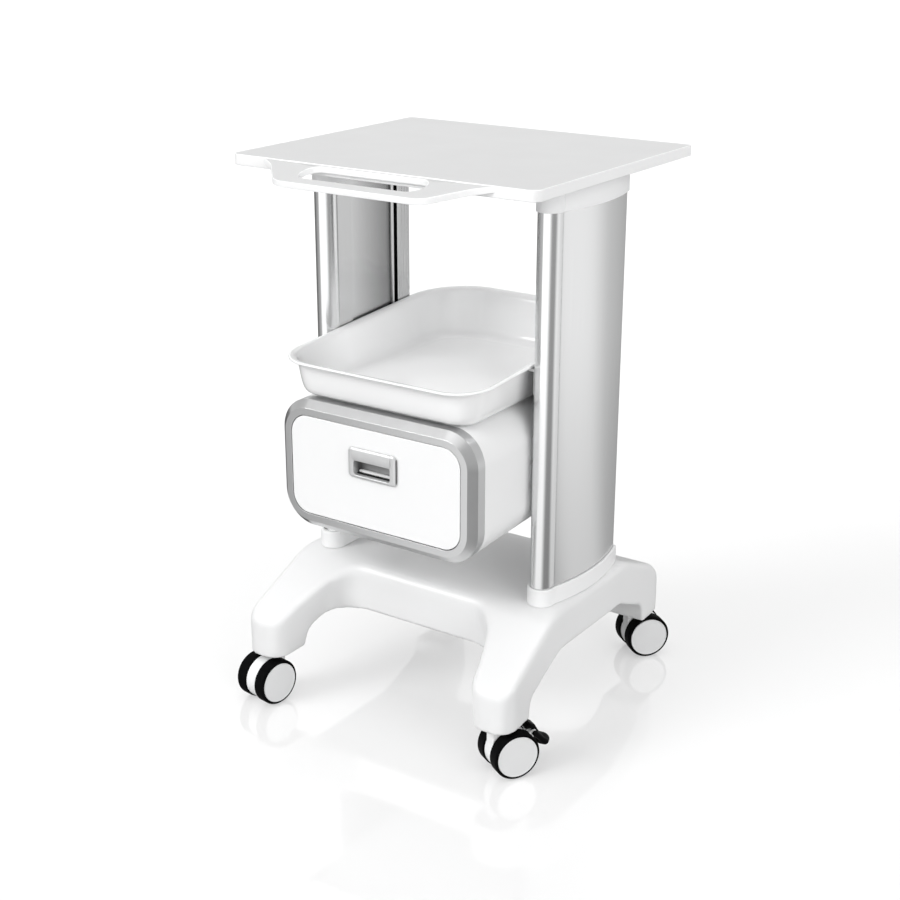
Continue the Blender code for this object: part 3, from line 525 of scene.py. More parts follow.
def outline_distance(points: Array, outline: Array) -> Array:
    """Distance of flat points to a closed outline, negative inside it.

    The nearest point of each side is found by projection held to the side's length, and a
    point is inside if a ray from it crosses an odd number of sides.

    Args:
        points: (count, 2).
        outline: (sides, 2).

    Returns:
        One distance for each point.
    """
    start, side = outline, np.roll(outline, -1, 0) - outline
    offset = points[:, None] - start[None]
    share = (offset * side).sum(-1) / np.maximum((side * side).sum(-1), LEAST)
    gap = offset - np.clip(share, 0.0, 1.0)[..., None] * side
    distance = np.sqrt((gap * gap).sum(-1).min(1))
    above = start[:, 1] > points[:, None, 1]
    spans = above != np.roll(above, -1, 1)
    rise = np.where(side[:, 1] == 0.0, LEAST, side[:, 1])
    crosses = spans & (offset[..., 0] < side[:, 0] * offset[..., 1] / rise)
    return np.where(crosses.sum(1) % 2 == 1, -distance, distance)


def smooth_max(first: Array, second: Array, radius: float) -> Array:
    """Larger of two fields, with the edge where they meet rounded.

    Args:
        first: first field.
        second: second field.
        radius: how far from the edge the round begins.

    Returns:
        max + (radius - difference)^2 / (4 radius) near the edge, and max elsewhere.
    """
    near = np.maximum(radius - np.abs(first - second), 0.0)
    return np.maximum(first, second) + near * near / (4.0 * radius)


def surface_net(field: Array, origin: Array, cell: float) -> Shell:
    """Surface where a field on a grid crosses zero.

    Every cell that the surface crosses gets one point, the mean of the crossings on its
    edges, and every grid edge that is crossed gets the quad of its four cells.

    Args:
        field: values on the grid, negative inside.
        origin: place of the grid's first point.
        cell: size of a cell.

    Returns:
        The closed surface.
    """
    size = np.array(field.shape) - 1
    total = np.zeros((*size, 3))
    count = np.zeros(size)
    crossed = []
    for axis in range(3):
        low = np.delete(field, -1, axis)
        high = np.delete(field, 0, axis)
        cross = (low < 0.0) != (high < 0.0)
        share = np.where(cross, low / np.where(cross, low - high, 1.0), 0.0)
        crossed.append((cross, low < 0.0))
        others = [other for other in range(3) if other != axis]
        for first in (0, 1):
            for second in (0, 1):
                part = [slice(None)] * 3
                part[others[0]] = slice(first, first + size[others[0]])
                part[others[1]] = slice(second, second + size[others[1]])
                hit = cross[tuple(part)]
                count += hit
                total[..., axis] += share[tuple(part)]
                total[..., others[0]] += hit * first
                total[..., others[1]] += hit * second
    active = count > 0
    index = np.full(size, -1)
    index[active] = np.arange(active.sum())
    corner = np.stack(np.nonzero(active), -1)
    points = origin + (corner + total[active] / count[active][:, None]) * cell
    faces = []
    for axis, (cross, inside) in enumerate(crossed):
        others = [other for other in range(3) if other != axis]
        inner = [slice(None)] * 3
        inner[others[0]] = slice(1, -1)
        inner[others[1]] = slice(1, -1)
        spot = np.stack(np.nonzero(cross[tuple(inner)]), -1)
        spot[:, others] += 1
        step = np.eye(3, dtype=int)
        back_first, back_second = step[others[0]], step[others[1]]
        ring = (spot - back_first - back_second, spot - back_second, spot, spot - back_first)
        quad = np.stack([index[tuple(place.T)] for place in ring], -1)
        turn = inside[tuple(spot.T)] ^ (axis == 1)
        faces.append(np.where(turn[:, None], quad, quad[:, ::-1]))
    return Shell(points, np.concatenate(faces).tolist())


def relax(shell: Shell, rounds: int = 4) -> Shell:
    """Smooth a surface of quads without shrinking it.

    Each round moves the points towards the mean of their neighbours by the first share, then
    back by the second.

    Args:
        shell: surface of quads.
        rounds: how often.

    Returns:
        The smoothed surface.
    """
    quads = np.array(shell.faces)
    edges = np.concatenate([quads[:, [side, (side + 1) % 4]] for side in range(4)])
    points = shell.points.copy()
    degree = np.bincount(edges.ravel(), minlength=len(points))[:, None]
    for share in RELAX_SHARES * rounds:
        total = np.stack([
            np.bincount(edges[:, 0], points[edges[:, 1], axis], len(points))
            + np.bincount(edges[:, 1], points[edges[:, 0], axis], len(points))
            for axis in range(3)], -1)
        points += share * (total / degree - points)
    return Shell(points, shell.faces)


def grid(low: Sequence[float], high: Sequence[float], cell: float) -> tuple[Array, Array, Array]:
    """Coordinates along each axis of a grid that covers a box.

    Args:
        low: lowest corner.
        high: highest corner.
        cell: size of a cell.

    Returns:
        The coordinates along X, Y and Z.
    """
    return tuple(np.arange(first, last + cell, cell) for first, last in zip(low, high))


def add_piece(
        name: str, shells: Sequence[Shell], finish: Finish, body: str,
        replaces: Sequence[str] = (), sharp: float = 40.0, shade: Optional[Array] = None,
        weighted: bool = True) -> bpy.types.Object:
    """Put surfaces into the scene as one piece that rides on a body.

    Args:
        name: name of the piece.
        shells: its closed surfaces.
        finish: its finish.
        body: body of the frame that it rides on.
        replaces: nodes of the frame that it stands for.
        sharp: angle in degrees above which an edge stays sharp.
        shade: darkness or glow of each point, for finishes that use it.
        weighted: whether flats keep their own shading beside rounds.

    Returns:
        The new object.
    """
    start = np.cumsum([0] + [len(shell.points) for shell in shells])
    points = np.concatenate([shell.points for shell in shells])
    faces = [
        [corner + first for corner in face] for shell, first in zip(shells, start) for face in shell.faces]
    mesh = bpy.data.meshes.new(name)
    mesh.from_pydata(points.tolist(), [], faces)
    if shade is not None:
        mesh.attributes.new("shade", "FLOAT", "POINT").data.foreach_set("value", shade.astype(np.float32))
    work = bmesh.new()
    work.from_mesh(mesh)
    bmesh.ops.recalc_face_normals(work, faces=work.faces)
    work.to_mesh(mesh)
    work.free()
    mesh.shade_smooth()
    mesh.set_sharp_from_angle(angle=math.radians(sharp))
    mesh.materials.append(finish.material())
    piece = bpy.data.objects.new(name, mesh)
    bpy.context.scene.collection.objects.link(piece)
    if weighted:
        modifier = piece.modifiers.new("flats", "WEIGHTED_NORMAL")
        modifier.keep_sharp = True
    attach(piece, str(body.value if isinstance(body, Enum) else body))
    if replaces:
        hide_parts(*replaces)
    LOG.info("%s: %d faces", name, len(mesh.polygons))
    return piece


def dress(finish: Finish, *nodes: str) -> None:
    """Give nodes of the frame that keep their own shape a finish.

    Args:
        finish: the finish.
        nodes: names of the nodes.
    """
    for name in nodes:
        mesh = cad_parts[name].data
        mesh.materials.clear()
        mesh.materials.append(finish.material())
        LOG.info("%s: dressed in %s", name, finish.name)


# Sub-assemblies


@dataclass
class Column:
    """One aluminium column with its cover strip, cap and boot.

    Places in the section are listed from rear to front, and shades as (place, darkness) from
    front to rear.
    """

    side: str
    sign: float
    inner: float = 0.1832
    nose_radius: float = 0.0175
    nose_y: float = -0.0876
    rear_y: float = 0.110
    arc_points: int = 40
    groove: float = 0.008
    bulge: float = 0.014
    cover_thick: float = 0.0025
    cover_points: int = 48
    cover_rolls: tuple[float, float] = (0.0009, 0.0002)
    cover_steps: int = 3
    foot: float = 0.2213
    top: float = 0.8617
    cut_edge: float = 0.0002
    cut_flat: float = 0.0001
    table_bottom: float = 0.8665
    cap_height: float = 0.0405
    cap_lip: float = 0.0025
    cap_rounds: tuple[float, float] = (0.0008, 0.0003)
    deck: float = 0.221
    boot_height: float = 0.028
    boot_lip: float = 0.0040
    boot_rounds: tuple[float, float] = (0.0003, 0.0020)
    collar_round: float = 0.0002
    seam: float = 0.0008
    fine: float = 0.0003
    seat_radius: float = 0.0008
    rear_radius: float = 0.0012
    lines: tuple[float, ...] = (0.1035, 0.0960, 0.0885)
    line_half: float = 0.0006
    line_depth: float = 0.0005
    wide_line: tuple[float, ...] = (0.0806, 0.0803, 0.0800, 0.0797)
    slot: tuple[float, float] = (0.0762, 0.0662)
    slot_depth: float = 0.0098
    slot_radius: float = 0.0006
    recess: float = 0.003
    bank: tuple[float, ...] = (0.0622, 0.0610, 0.0500)
    bank_rise: float = 0.0005
    bank_radii: tuple[float, float] = (0.0012, 0.004)
    panel_front: tuple[float, float] = (-0.0470, -0.0475)
    panel_radius: float = 0.0005
    front_groove: tuple[float, ...] = (-0.0806, -0.0822, -0.0834, -0.0846)
    front_groove_depth: float = 0.0012
    steps: int = 6
    # Painted shade on the inner face's flat strips, and in the recessed panel
    flush_shade: Pairs = ((-0.0815, 0.0), (-0.0805, 0.19), (0.0790, 0.19), (0.0800, 0.25))
    flush_depth: float = 0.0008
    panel_shade: Pairs = ((-0.048, 0.0), (-0.046, 0.24), (0.050, 0.64), (0.0615, 0.83), (0.062, 0.0))
    panel_near: float = 0.001
    slot_shade: tuple[float, float] = (0.0655, 0.0768)
    slot_fade: float = 0.002

    @property
    def outer(self) -> float:
        """Outer side of the round nose."""
        return self.inner + 2.0 * self.nose_radius

    @property
    def cover_front(self) -> float:
        """Front edge of the cover strip."""
        return self.nose_y + self.groove

    def bow(self, count: int) -> Array:
        """Arc of the cover strip's outer face, from front to rear.

        The arc stands bulge above its chord, so its radius is (half^2 + bulge^2) / (2 bulge).

        Args:
            count: points on the arc.

        Returns:
            Points of the arc on the right side.
        """
        half = (self.rear_y - self.cover_front) / 2.0
        radius = (half * half + self.bulge * self.bulge) / (2.0 * self.bulge)
        along = np.linspace(-half, half, count)
        out = np.sqrt(radius * radius - along * along) - (radius - self.bulge)
        return np.stack((self.outer + out, (self.rear_y + self.cover_front) / 2.0 + along), -1)

    def envelope(self) -> Array:
        """Outline round the column with its cover strip.

        Returns:
            Counter-clockwise points on the right side.
        """
        nose = unit_arc(np.pi, 2.0 * np.pi, self.arc_points) * self.nose_radius
        nose += np.array((self.inner + self.nose_radius, self.nose_y))
        seam = [(self.outer, self.cover_front - times * self.seam) for times in (2.0, 1.0)]
        rear = [(self.outer, self.rear_y), (self.inner, self.rear_y)]
        return np.concatenate((nose, seam, self.bow(self.arc_points)[:-1], rear))

    def section(self) -> Array:
        """Section of the extrusion: round nose, recessed panel, fine lines and slot.

        Returns:
            Counter-clockwise points on the right side.
        """
        inner, fine, lip = self.inner, self.fine, self.slot_radius
        front = self.nose_y - self.nose_radius
        nose = self.nose_radius - 2.0 * TINY
        core = self.outer - self.cover_thick - FIT
        floor, deep = inner + self.recess, inner + self.slot_depth
        line, trough = inner + self.line_depth, inner + self.front_groove_depth
        seat = self.cover_front - FIT
        corners = [
            (inner, front, nose), (self.outer, front, nose),
            (self.outer, seat, self.seat_radius), (core, seat, fine),
            (core, self.rear_y, self.seat_radius), (inner, self.rear_y, self.rear_radius)]
        for middle in self.lines:
            ends = (middle + self.line_half, middle, middle - self.line_half)
            corners += zip((inner, line, inner), ends, (fine,) * 3)
        corners += zip((inner, line, line, inner), self.wide_line, (fine,) * 4)
        slot_rear, slot_front = self.slot
        bank_edge, bank_top, bank_foot = self.bank
        panel_floor, panel_edge = self.panel_front
        corners += [
            (inner, slot_rear, lip), (deep, slot_rear, fine), (deep, slot_front, fine),
            (inner, slot_front, lip), (inner, bank_edge, lip),
            (floor + self.bank_rise, bank_top, self.bank_radii[0]), (floor, bank_foot, self.bank_radii[1]),
            (floor, panel_floor, fine), (inner, panel_edge, self.panel_radius)]
        radii = (self.panel_radius, fine, fine, fine)
        corners += zip((inner, trough, trough, inner), self.front_groove, radii)
        return rounded_outline(corners, self.steps)

    def raised(self, outline: Array) -> Array:
        """Loops of an outline carried from the column's foot to its top.

        Args:
            outline: counter-clockwise outline for the right side.

        Returns:
            Loops on this column's side.
        """
        profile = slab_profile(self.foot, self.top, self.cut_edge, self.cut_flat)
        return carry(on_side(outline, self.sign), profile, Axis.Z)

    def extrusion(self) -> None:
        """Build the column itself, black down its slot, with painted shade greying its recessed panel and
        inner strips.
        """
        loops = self.raised(self.section())
        depth, along = np.abs(loops[..., 0]) - self.inner, loops[..., 1]
        within = (along > self.slot_shade[0]) & (along < self.slot_shade[1])
        # Painted shade in the recessed panel, growing towards its rear, on top of the panel's darker tone
        sunk = np.interp(along, *zip(*self.panel_shade)) * (np.abs(depth - self.recess) < self.panel_near)
        # Painted shade on the flat strips of the inner face
        flush = np.interp(along, *zip(*self.flush_shade))
        shade = np.where(depth < self.flush_depth, flush, sunk)
        # Black further down the slot, by depth
        shade = np.where(within, np.clip(depth / self.slot_fade, 0.0, 1.0), shade)
        add_piece(f"column_{self.side}_post", [skin(loops)], ALUMINIUM, Body.CART,
                  [f"column_{self.side}"], shade=shade.ravel())

    def cover(self) -> None:
        """Build the bowed cover strip with rolled edges."""
        face = self.bow(self.cover_points)
        back = face[::-1] - np.array((self.cover_thick, 0.0))
        radii = np.full((2, self.cover_points), TINY)
        radii[:, (0, -1)] = np.array(self.cover_rolls)[:, None]
        corners = np.column_stack((np.concatenate((face, back)), radii.ravel()))
        loops = self.raised(rounded_outline(corners, self.cover_steps))
        add_piece(f"column_{self.side}_cover", [skin(loops)], ALUMINIUM, Body.CART,
                  [f"column_cover_{self.side}"])

    def collar(self, name: str, node: str, low: float, high: float, lip: float,
               rounds: tuple[float, float], finish: Finish, seam: float = 0.0) -> None:
        """Build a collar round the column, with a fine groove where the cover strip begins.

        Args:
            name: name of the piece.
            node: node that it stands for.
            low: its lower edge.
            high: its upper edge.
            lip: how far it stands out.
            rounds: radius of its lower and upper outer edge.
            finish: its finish.
            seam: depth of the groove.
        """
        profile = rounded_outline((
            (FIT, low, self.collar_round), (lip, low, rounds[0]), (lip, high, rounds[1]),
            (FIT, high, self.collar_round)), self.steps)
        outline = on_side(self.envelope(), self.sign)
        spot = np.array((self.sign * self.outer, self.cover_front - self.seam))
        groove = int(np.argmin(((outline - spot) ** 2).sum(1)))
        loops = carry(outline, profile, Axis.Z)
        loops[:, groove, 0] -= self.sign * seam * (profile[:, 0] > lip / 2.0)
        add_piece(name, [skin(loops, ring=True)], finish, Body.CART, [node])

    def build(self) -> None:
        """Build every piece of the column."""
        self.extrusion()
        self.cover()
        self.collar(f"column_{self.side}_cap", f"cap_{self.side}", self.table_bottom - self.cap_height,
                    self.table_bottom - FIT, self.cap_lip, self.cap_rounds, CAP_GREY, self.seam)
        self.collar(f"column_{self.side}_boot", f"boot_{self.side}", self.deck + FIT,
                    self.deck + self.boot_height, self.boot_lip, self.boot_rounds, SHELL_WHITE)


@dataclass
class Table:
    """Table slab with a sloping hand rail and its slot.

    A size that ends in _in is counted from the side of the table.
    """

    half: float = 0.264
    front: float = -0.230
    top: float = 0.883
    thick: float = 0.0165
    front_radius: float = 0.0155
    rear_radius: float = 0.006
    corner_steps: int = 16
    edge: float = 0.0015
    grey: float = 0.33
    reach: float = 0.0685
    slope: float = 0.209
    rail_thick: float = 0.009
    rail_step: float = 0.001
    rail_edge: float = 0.0012
    rail_flat: float = 0.0018
    rail_steps: int = 24
    nose_in: float = 0.138
    nose_radius: float = 0.035
    nose_end_in: float = 0.150
    cheek_in: float = 0.092
    cheek_reach: float = 0.0175
    cheek_radius: float = 0.045
    root_in: float = 0.065
    root_back: float = 0.012
    root_radius: float = 0.0005
    slot_in: float = 0.159
    slot_end_in: float = 0.165
    slot_front: float = 0.050
    slot_rear: float = 0.005
    slot_radius: float = 0.021
    section_points: tuple[int, ...] = (120, 60, 120, 60)

    def slab(self) -> Shell:
        """Flat slab with rounded edges.

        Returns:
            Its surface.
        """
        outline = rounded_outline(mirrored((
            (self.half, self.front, self.front_radius),
            (self.half, -self.front, self.rear_radius))), self.corner_steps)
        profile = slab_profile(self.top - self.thick, self.top, self.edge)
        return skin(carry(outline, profile, Axis.Z))

    def ring(self, outline: Array, front: Spot, rear: Spot) -> Array:
        """Points of an outline, evenly spaced along its front, right, rear and left sections.

        Args:
            outline: counter-clockwise outline.
            front: place near which its right section begins.
            rear: place near which its rear section begins.

        Returns:
            The points, beginning at the left end of the front section.
        """
        corners = ((-front[0], front[1]), front, rear, (-rear[0], rear[1]))
        starts = [int(np.argmin(((outline - np.array(corner)) ** 2).sum(1))) for corner in corners]
        sections = []
        for start, end, count in zip(starts, starts[1:] + starts[:1], self.section_points):
            span = np.arange(start, end + 1 + (len(outline) if end <= start else 0)) % len(outline)
            line = outline[span]
            length = np.concatenate(([0.0], np.cumsum(np.linalg.norm(np.diff(line, axis=0), axis=1))))
            at = np.linspace(0.0, length[-1], count, endpoint=False)
            sections.append(np.stack([np.interp(at, length, values) for values in line.T], -1))
        return np.concatenate(sections)

    def rail(self) -> Shell:
        """Hand rail: a plate round the slot that slopes down to the front.

        Quarter rounds edge the rail and the slot; the height at a point is the root's height
        less slope times its distance in front of the table.

        Returns:
            Its surface.
        """
        nose_y, root_y = self.front - self.reach, self.front + self.root_back
        root_x = self.half - self.root_in
        outer = rounded_outline(mirrored((
            (self.half - self.nose_in, nose_y, self.nose_radius),
            (self.half - self.cheek_in, self.front - self.cheek_reach, self.cheek_radius),
            (root_x, self.front, self.root_radius), (root_x, root_y, self.root_radius))), self.rail_steps)
        outer = self.ring(outer, (self.half - self.nose_end_in, nose_y), (root_x, root_y))
        front, rear = self.front - self.slot_front, self.front - self.slot_rear
        slot = rectangle(self.half - self.slot_in, front, rear, self.slot_radius, self.rail_steps)
        slot_end = self.half - self.slot_end_in
        slot = self.ring(slot, (slot_end, front), (slot_end, rear))
        outside = slab_profile(-self.rail_thick, 0.0, self.rail_edge, self.rail_flat)
        inside = outside[::-1] * np.array((-1.0, 1.0))
        flats = np.concatenate((
            outer[None] + outside[:, 0, None, None] * mitres(outer)[None],
            slot[None] + inside[:, 0, None, None] * mitres(slot)[None]))
        level = np.concatenate((outside, inside))[:, 1, None]
        return skin(lift(flats, level + self.surface(flats[..., 1]), Axis.Z), ring=True)

    def surface(self, y: Array) -> Array:
        """Height of the rail's upper side.

        Args:
            y: places along the depth of the table.

        Returns:
            The height at each place.
        """
        return self.top - self.rail_step + self.slope * np.minimum(y - self.front, 0.0)

    def build(self) -> None:
        """Build the slab and the rail, grey on top and white round the edge."""
        slab, rail = self.slab(), self.rail()
        for name, shell, top in (
                ("table_slab", slab, self.top), ("table_hand_rail", rail, self.surface(rail.points[:, 1]))):
            upper = shell.points[:, 2] > top - TINY
            add_piece(name, [shell], TABLE_WHITE, Body.CART, ["table_top"], shade=self.grey * upper)


@dataclass
class Tray:
    """Deep tray with a thin rolled rim that rises to the rear.

    The section is (part of the height, distance in), up the outside and down the inside.
    """

    half: float = 0.1802
    front: float = -0.249
    rear: float = 0.210
    front_radius: float = 0.060
    rear_radius: float = 0.100
    steps: int = 28
    bottom: float = 0.5298
    height: float = 0.072
    slope: float = 0.059
    aside: float = -0.002
    section: Pairs = (
        (0.0, 0.040), (0.0, 0.034), (0.045, 0.0258), (0.24, 0.0195), (0.86, 0.0135), (0.925, 0.0115),
        (0.930, 0.0012), (0.965, -0.0002), (1.0, 0.0005), (1.0, 0.0035), (0.985, 0.0080), (0.91, 0.0150),
        (0.29, 0.0225), (0.11, 0.0275), (0.05, 0.0380), (0.05, 0.052))
    rim_loops: int = 2
    # Painted glow of the inside at front, middle and rear, painted shade where below 0
    light: tuple[float, float, float] = (-0.10, 0.40, 1.0)
    left_painted_shade_x: tuple[float, float] = (-0.150, -0.130)
    left_painted_shade: float = 0.26

    def build(self) -> None:
        """Build the tray, whose inside gets painted shade at the front and on the left and a painted glow
        growing towards the rear.

        A point's height is bottom + part * (height + slope * y), so the floor is nearly level
        and the rim slopes.
        """
        outline = rounded_outline(mirrored((
            (self.half, self.front, self.front_radius),
            (self.half, self.rear, self.rear_radius))), self.steps)
        outline += np.array((self.aside, 0.0))
        section = soften(np.array(self.section))
        flat = outline[None] - section[:, 1, None, None] * mitres(outline)[None]
        level = self.bottom + section[:, 0, None] * (self.height + self.slope * flat[..., 1])
        inside = np.arange(len(section)) > np.argmax(section[:, 0]) + self.rim_loops
        # Painted light: glow towards the rear, painted shade at the front and on the left wall
        painted_light = np.interp(flat[..., 1], (self.front, 0.0, self.rear), self.light)
        painted_light -= np.interp(flat[..., 0], self.left_painted_shade_x, (self.left_painted_shade, 0.0))
        painted_light *= inside[:, None]
        add_piece("tray_shell", [skin(lift(flat, level, Axis.Z))], TRAY_WHITE, Body.CART, ["tray"],
                  shade=painted_light.ravel())


@dataclass(frozen=True)
class PullBar:
    """Bar low in the finger opening: half its width, and its reach behind the front and above the edge."""

    name: str
    finish: Finish
    half: float
    near: float
    far: float
    base: float
    height: float


PULL_BARS = (
    PullBar("ledge", SHELL_WHITE, half=0.0310, near=0.0062, far=0.0105, base=0.0006, height=0.0042),
    # Black bar that paints the shadow line of the gap under the ledge
    PullBar("gap", PEDAL_BLACK, half=0.0318, near=0.0020, far=0.0058, base=0.0002, height=0.0016),
)


@dataclass
class Drawer:
    """Drawer case, bezel, front, pull and box.

    Sections are (grow, level) pairs, each counted from the face or edge that its name says.
    """

    case_half: float = 0.1776
    half: float = 0.1543
    low: float = 0.346
    high: float = 0.504
    radius: float = 0.030
    front: float = -0.243
    panel_thick: float = 0.016
    reveal: float = 0.0008
    facet: float = 0.011
    chamfer: float = 0.0115
    bezel_depth: float = 0.030
    bezel_radii: tuple[float, ...] = (0.0003, 0.0004, 0.0005, 0.0005, 0.0004)
    bezel_steps: int = 24
    profile_steps: int = 6
    # Where the frame's inner side is painted black as shade in the gap: how far out, and how far behind the
    # front
    gap_painted_shade: tuple[float, float] = (0.0002, 0.0006)
    wall: float = 0.0035
    case_rear: float = 0.125
    case_rise: float = 0.012
    case_edge: float = 0.006
    case_flat: float = 0.003
    case_inset: float = 0.03
    case_rim: float = 0.0005
    face_gap: float = 0.0004
    face_edge: float = 0.001
    face_flat: float = 0.003
    face_side: float = 0.0012
    face_back: Pairs = ((-0.004, 0.0), (0.0, -0.0004))
    hole_front: Pairs = ((0.0045, 0.0), (0.0022, 0.0))
    hole_back: Pairs = ((0.0022, -0.001), (0.0045, 0.0))
    box_half: float = 0.140
    box_low: float = 0.352
    box_high: float = 0.480
    box_rear: float = 0.105
    box_wall: float = 0.003
    box_radius: float = 0.006
    box_steps: int = 10
    box_inset: float = 0.0056
    box_foot: Pairs = ((-0.002, 0.0), (-0.0006, 0.0006), (0.0, 0.002))
    box_rim: Pairs = ((0.0, -0.0008), (-0.0006, 0.0))
    box_floor: Pairs = ((0.0, 0.0015), (-0.0006, 0.0004), (-0.0015, 0.0))
    pull_middle: float = 0.4495
    pull_half: float = 0.044
    pull_height: float = 0.048
    pull_proud: float = 0.005
    pull_radius: float = 0.008
    plate_seat: Pairs = ((-0.003, 0.0), (0.0, 0.0), (0.0, -0.0018))
    plate_face: Pairs = ((-0.0008, 0.0012), (-0.0036, 0.0), (-0.0042, 0.0))
    cup_face: Pairs = ((0.0011, 0.0), (0.0005, 0.0002), (0.0, 0.0010))
    cup_floor: Pairs = ((0.0, -0.001), (-0.001, 0.0), (-0.0045, 0.0))
    sleeve_floor: Pairs = ((-0.0045, 0.002), (0.002, 0.002))
    sleeve_seat: Pairs = ((0.002, 0.0),)
    # Painted shade in the cup, overall and more on its left, and on the plate's right and lower edges
    cup_painted_shade: float = 0.50
    cup_left_painted_shade: float = 0.35
    cup_left: float = -0.024
    cup_left_fade: float = 0.006
    rim_painted_shade: tuple[float, float] = (0.8, 0.45)
    rim_width: float = 0.0012
    rim_fade: float = 0.0008
    mouth_half: float = 0.033
    mouth_middle: float = 0.4427
    mouth_height: float = 0.0235
    mouth_depth: float = 0.011
    mouth_radius: float = 0.005
    steps: int = 16
    hood_points: int = 24
    hood_lap: float = 0.0008
    hood_below: float = 0.0016
    hood_proud: float = 0.0003
    hood_bulge: float = 0.0016
    hood_power: float = 0.7
    hood_back: float = 0.0012
    hood_beside: float = 0.0015
    hood_edge: float = 0.0004
    bar_radius: float = 0.0008
    bar_steps: int = 4
    bar_edge: float = 0.0003
    small_flat: float = 0.0002

    @property
    def frame_out(self) -> float:
        """How far the bezel stands out round the drawer front."""
        return self.reveal + self.facet + self.chamfer

    @property
    def pull_face(self) -> float:
        """Place of the pull's front."""
        return self.front - self.pull_proud

    @property
    def mouth_low(self) -> float:
        """Lower edge of the finger opening."""
        return self.mouth_middle - self.mouth_height / 2.0

    def panel(self, steps: int) -> Array:
        """Outline of the drawer front.

        Args:
            steps: pieces in each corner.

        Returns:
            Points of the outline.
        """
        return rectangle(self.half, self.low, self.high, self.radius, steps)

    def mouth(self) -> Array:
        """Outline of the finger opening in the pull.

        Returns:
            Points of the outline.
        """
        high = self.mouth_middle + self.mouth_height / 2.0
        return rectangle(self.mouth_half, self.mouth_low, high, self.mouth_radius, self.steps)

    def bezel(self) -> None:
        """Build the frame round the drawer: a flat, a chamfer and a side, its inner part painted nearly black
        as shade in the gap.
        """
        back = self.front + self.bezel_depth
        places = (
            (self.reveal, back), (self.reveal, self.front), (self.reveal + self.facet, self.front),
            (self.frame_out, self.front + self.chamfer), (self.frame_out, back))
        profile = rounded_outline(np.column_stack((places, self.bezel_radii)), self.profile_steps)
        loops = carry(self.panel(self.bezel_steps), profile, Axis.Y)
        # Painted shade: the inner side that faces the drawer front across the gap is made nearly black
        lip, behind = self.gap_painted_shade
        inner = (profile[:, 0] < self.reveal + lip) & (profile[:, 1] > self.front + behind)
        add_piece("drawer_frame", [skin(loops, ring=True)], SILVER, Body.CART, ["drawer_bezel"],
                  shade=np.repeat(inner.astype(float), loops.shape[1]))

    def case(self) -> None:
        """Build the tub behind the bezel; its floor rises evenly to the rear."""
        out = self.frame_out
        outline = rectangle(
            self.case_half, self.low - out, self.high + out, self.radius + out, self.bezel_steps)
        start = self.front + self.bezel_depth + FIT
        outer = slab_profile(start, self.case_rear, self.case_edge, self.case_flat)
        inner_rear = self.case_rear - self.wall
        inner = np.array((
            (-self.case_inset, inner_rear), (-self.wall, inner_rear), (-self.wall, start),
            (-self.case_rim, start), (0.0, start + self.case_rim)))
        loops = carry(outline, np.concatenate((inner, outer[len(outer) // 2:])), Axis.Y)
        share = np.clip((loops[..., 1] - start) / (self.case_rear - start), 0.0, 1.0)
        lower = loops[..., 2] < (self.low + self.high) / 2.0
        loops[..., 2] += np.where(lower, self.case_rise * share, 0.0)
        add_piece("drawer_tub", [skin(loops)], SHELL_WHITE, Body.CART, ["drawer_case"])

    def face(self) -> None:
        """Build the drawer front with the pocket for the pull."""
        back = self.front + self.panel_thick
        turn = quarter() * np.array((-self.face_edge, self.face_edge))
        rim = np.concatenate((
            shifted(self.face_back, 0.0, back), ((0.0, self.front + self.face_side),),
            shifted(turn, 0.0, self.front), ((-self.face_flat, self.front),)))
        hole = np.concatenate((shifted(self.hole_front, 0.0, self.front), shifted(self.hole_back, 0.0, back)))
        loops = np.concatenate((
            carry(self.panel(self.steps), shifted(rim, -self.face_gap, 0.0), Axis.Y),
            carry(self.mouth(), hole, Axis.Y)))
        add_piece("drawer_face", [skin(loops, ring=True)], SHELL_WHITE, Body.DRAWER, ["drawer_front"])

    def pull(self) -> None:
        """Build the recessed pull: a raised plate, its finger opening and the cup behind.

        Painted shade darkens the cup with its depth, and more on its left, and the plate's right
        and lower edges.
        """
        low, high = (self.pull_middle + side * self.pull_height / 2.0 for side in (-1.0, 1.0))
        plate = rectangle(self.pull_half, low, high, self.pull_radius, self.steps)
        seat, face, floor = self.front - FIT, self.pull_face, self.front + self.mouth_depth
        raised = soften(np.concatenate((
            shifted(self.plate_seat, 0.0, seat), shifted(self.plate_face, 0.0, face))), 2)
        cup = np.concatenate((shifted(self.cup_face, 0.0, face), shifted(self.cup_floor, 0.0, floor)))
        sleeve = np.concatenate((
            shifted(self.sleeve_floor, 0.0, floor), shifted(self.sleeve_seat, 0.0, seat)))
        mouth = self.mouth()
        loops = np.concatenate([
            carry(outline, profile, Axis.Y)
            for outline, profile in ((mouth, sleeve), (plate, raised), (mouth, cup))])
        # Painted shade: deeper in the cup and on its left wall, and on the plate's right and lower edges
        depth = np.clip((loops[..., 1] - face) / (floor - face), 0.0, 1.0)
        left = np.clip((self.cup_left - loops[..., 0]) / self.cup_left_fade, 0.0, 1.0)
        beyond = (loops[..., 0] - self.pull_half, low - loops[..., 2])
        edge = np.maximum(*(
            np.clip((gap + self.rim_width) / self.rim_fade, 0.0, dark)
            for gap, dark in zip(beyond, self.rim_painted_shade)))
        on_plate = np.arange(len(loops))[:, None] < len(loops) - len(cup)
        shade = np.where(on_plate, edge, depth * (self.cup_painted_shade + self.cup_left_painted_shade * left))
        add_piece("drawer_pull_plate", [skin(loops)], PULL_SILVER, Body.DRAWER, ["drawer_pull"],
                  shade=shade.ravel())

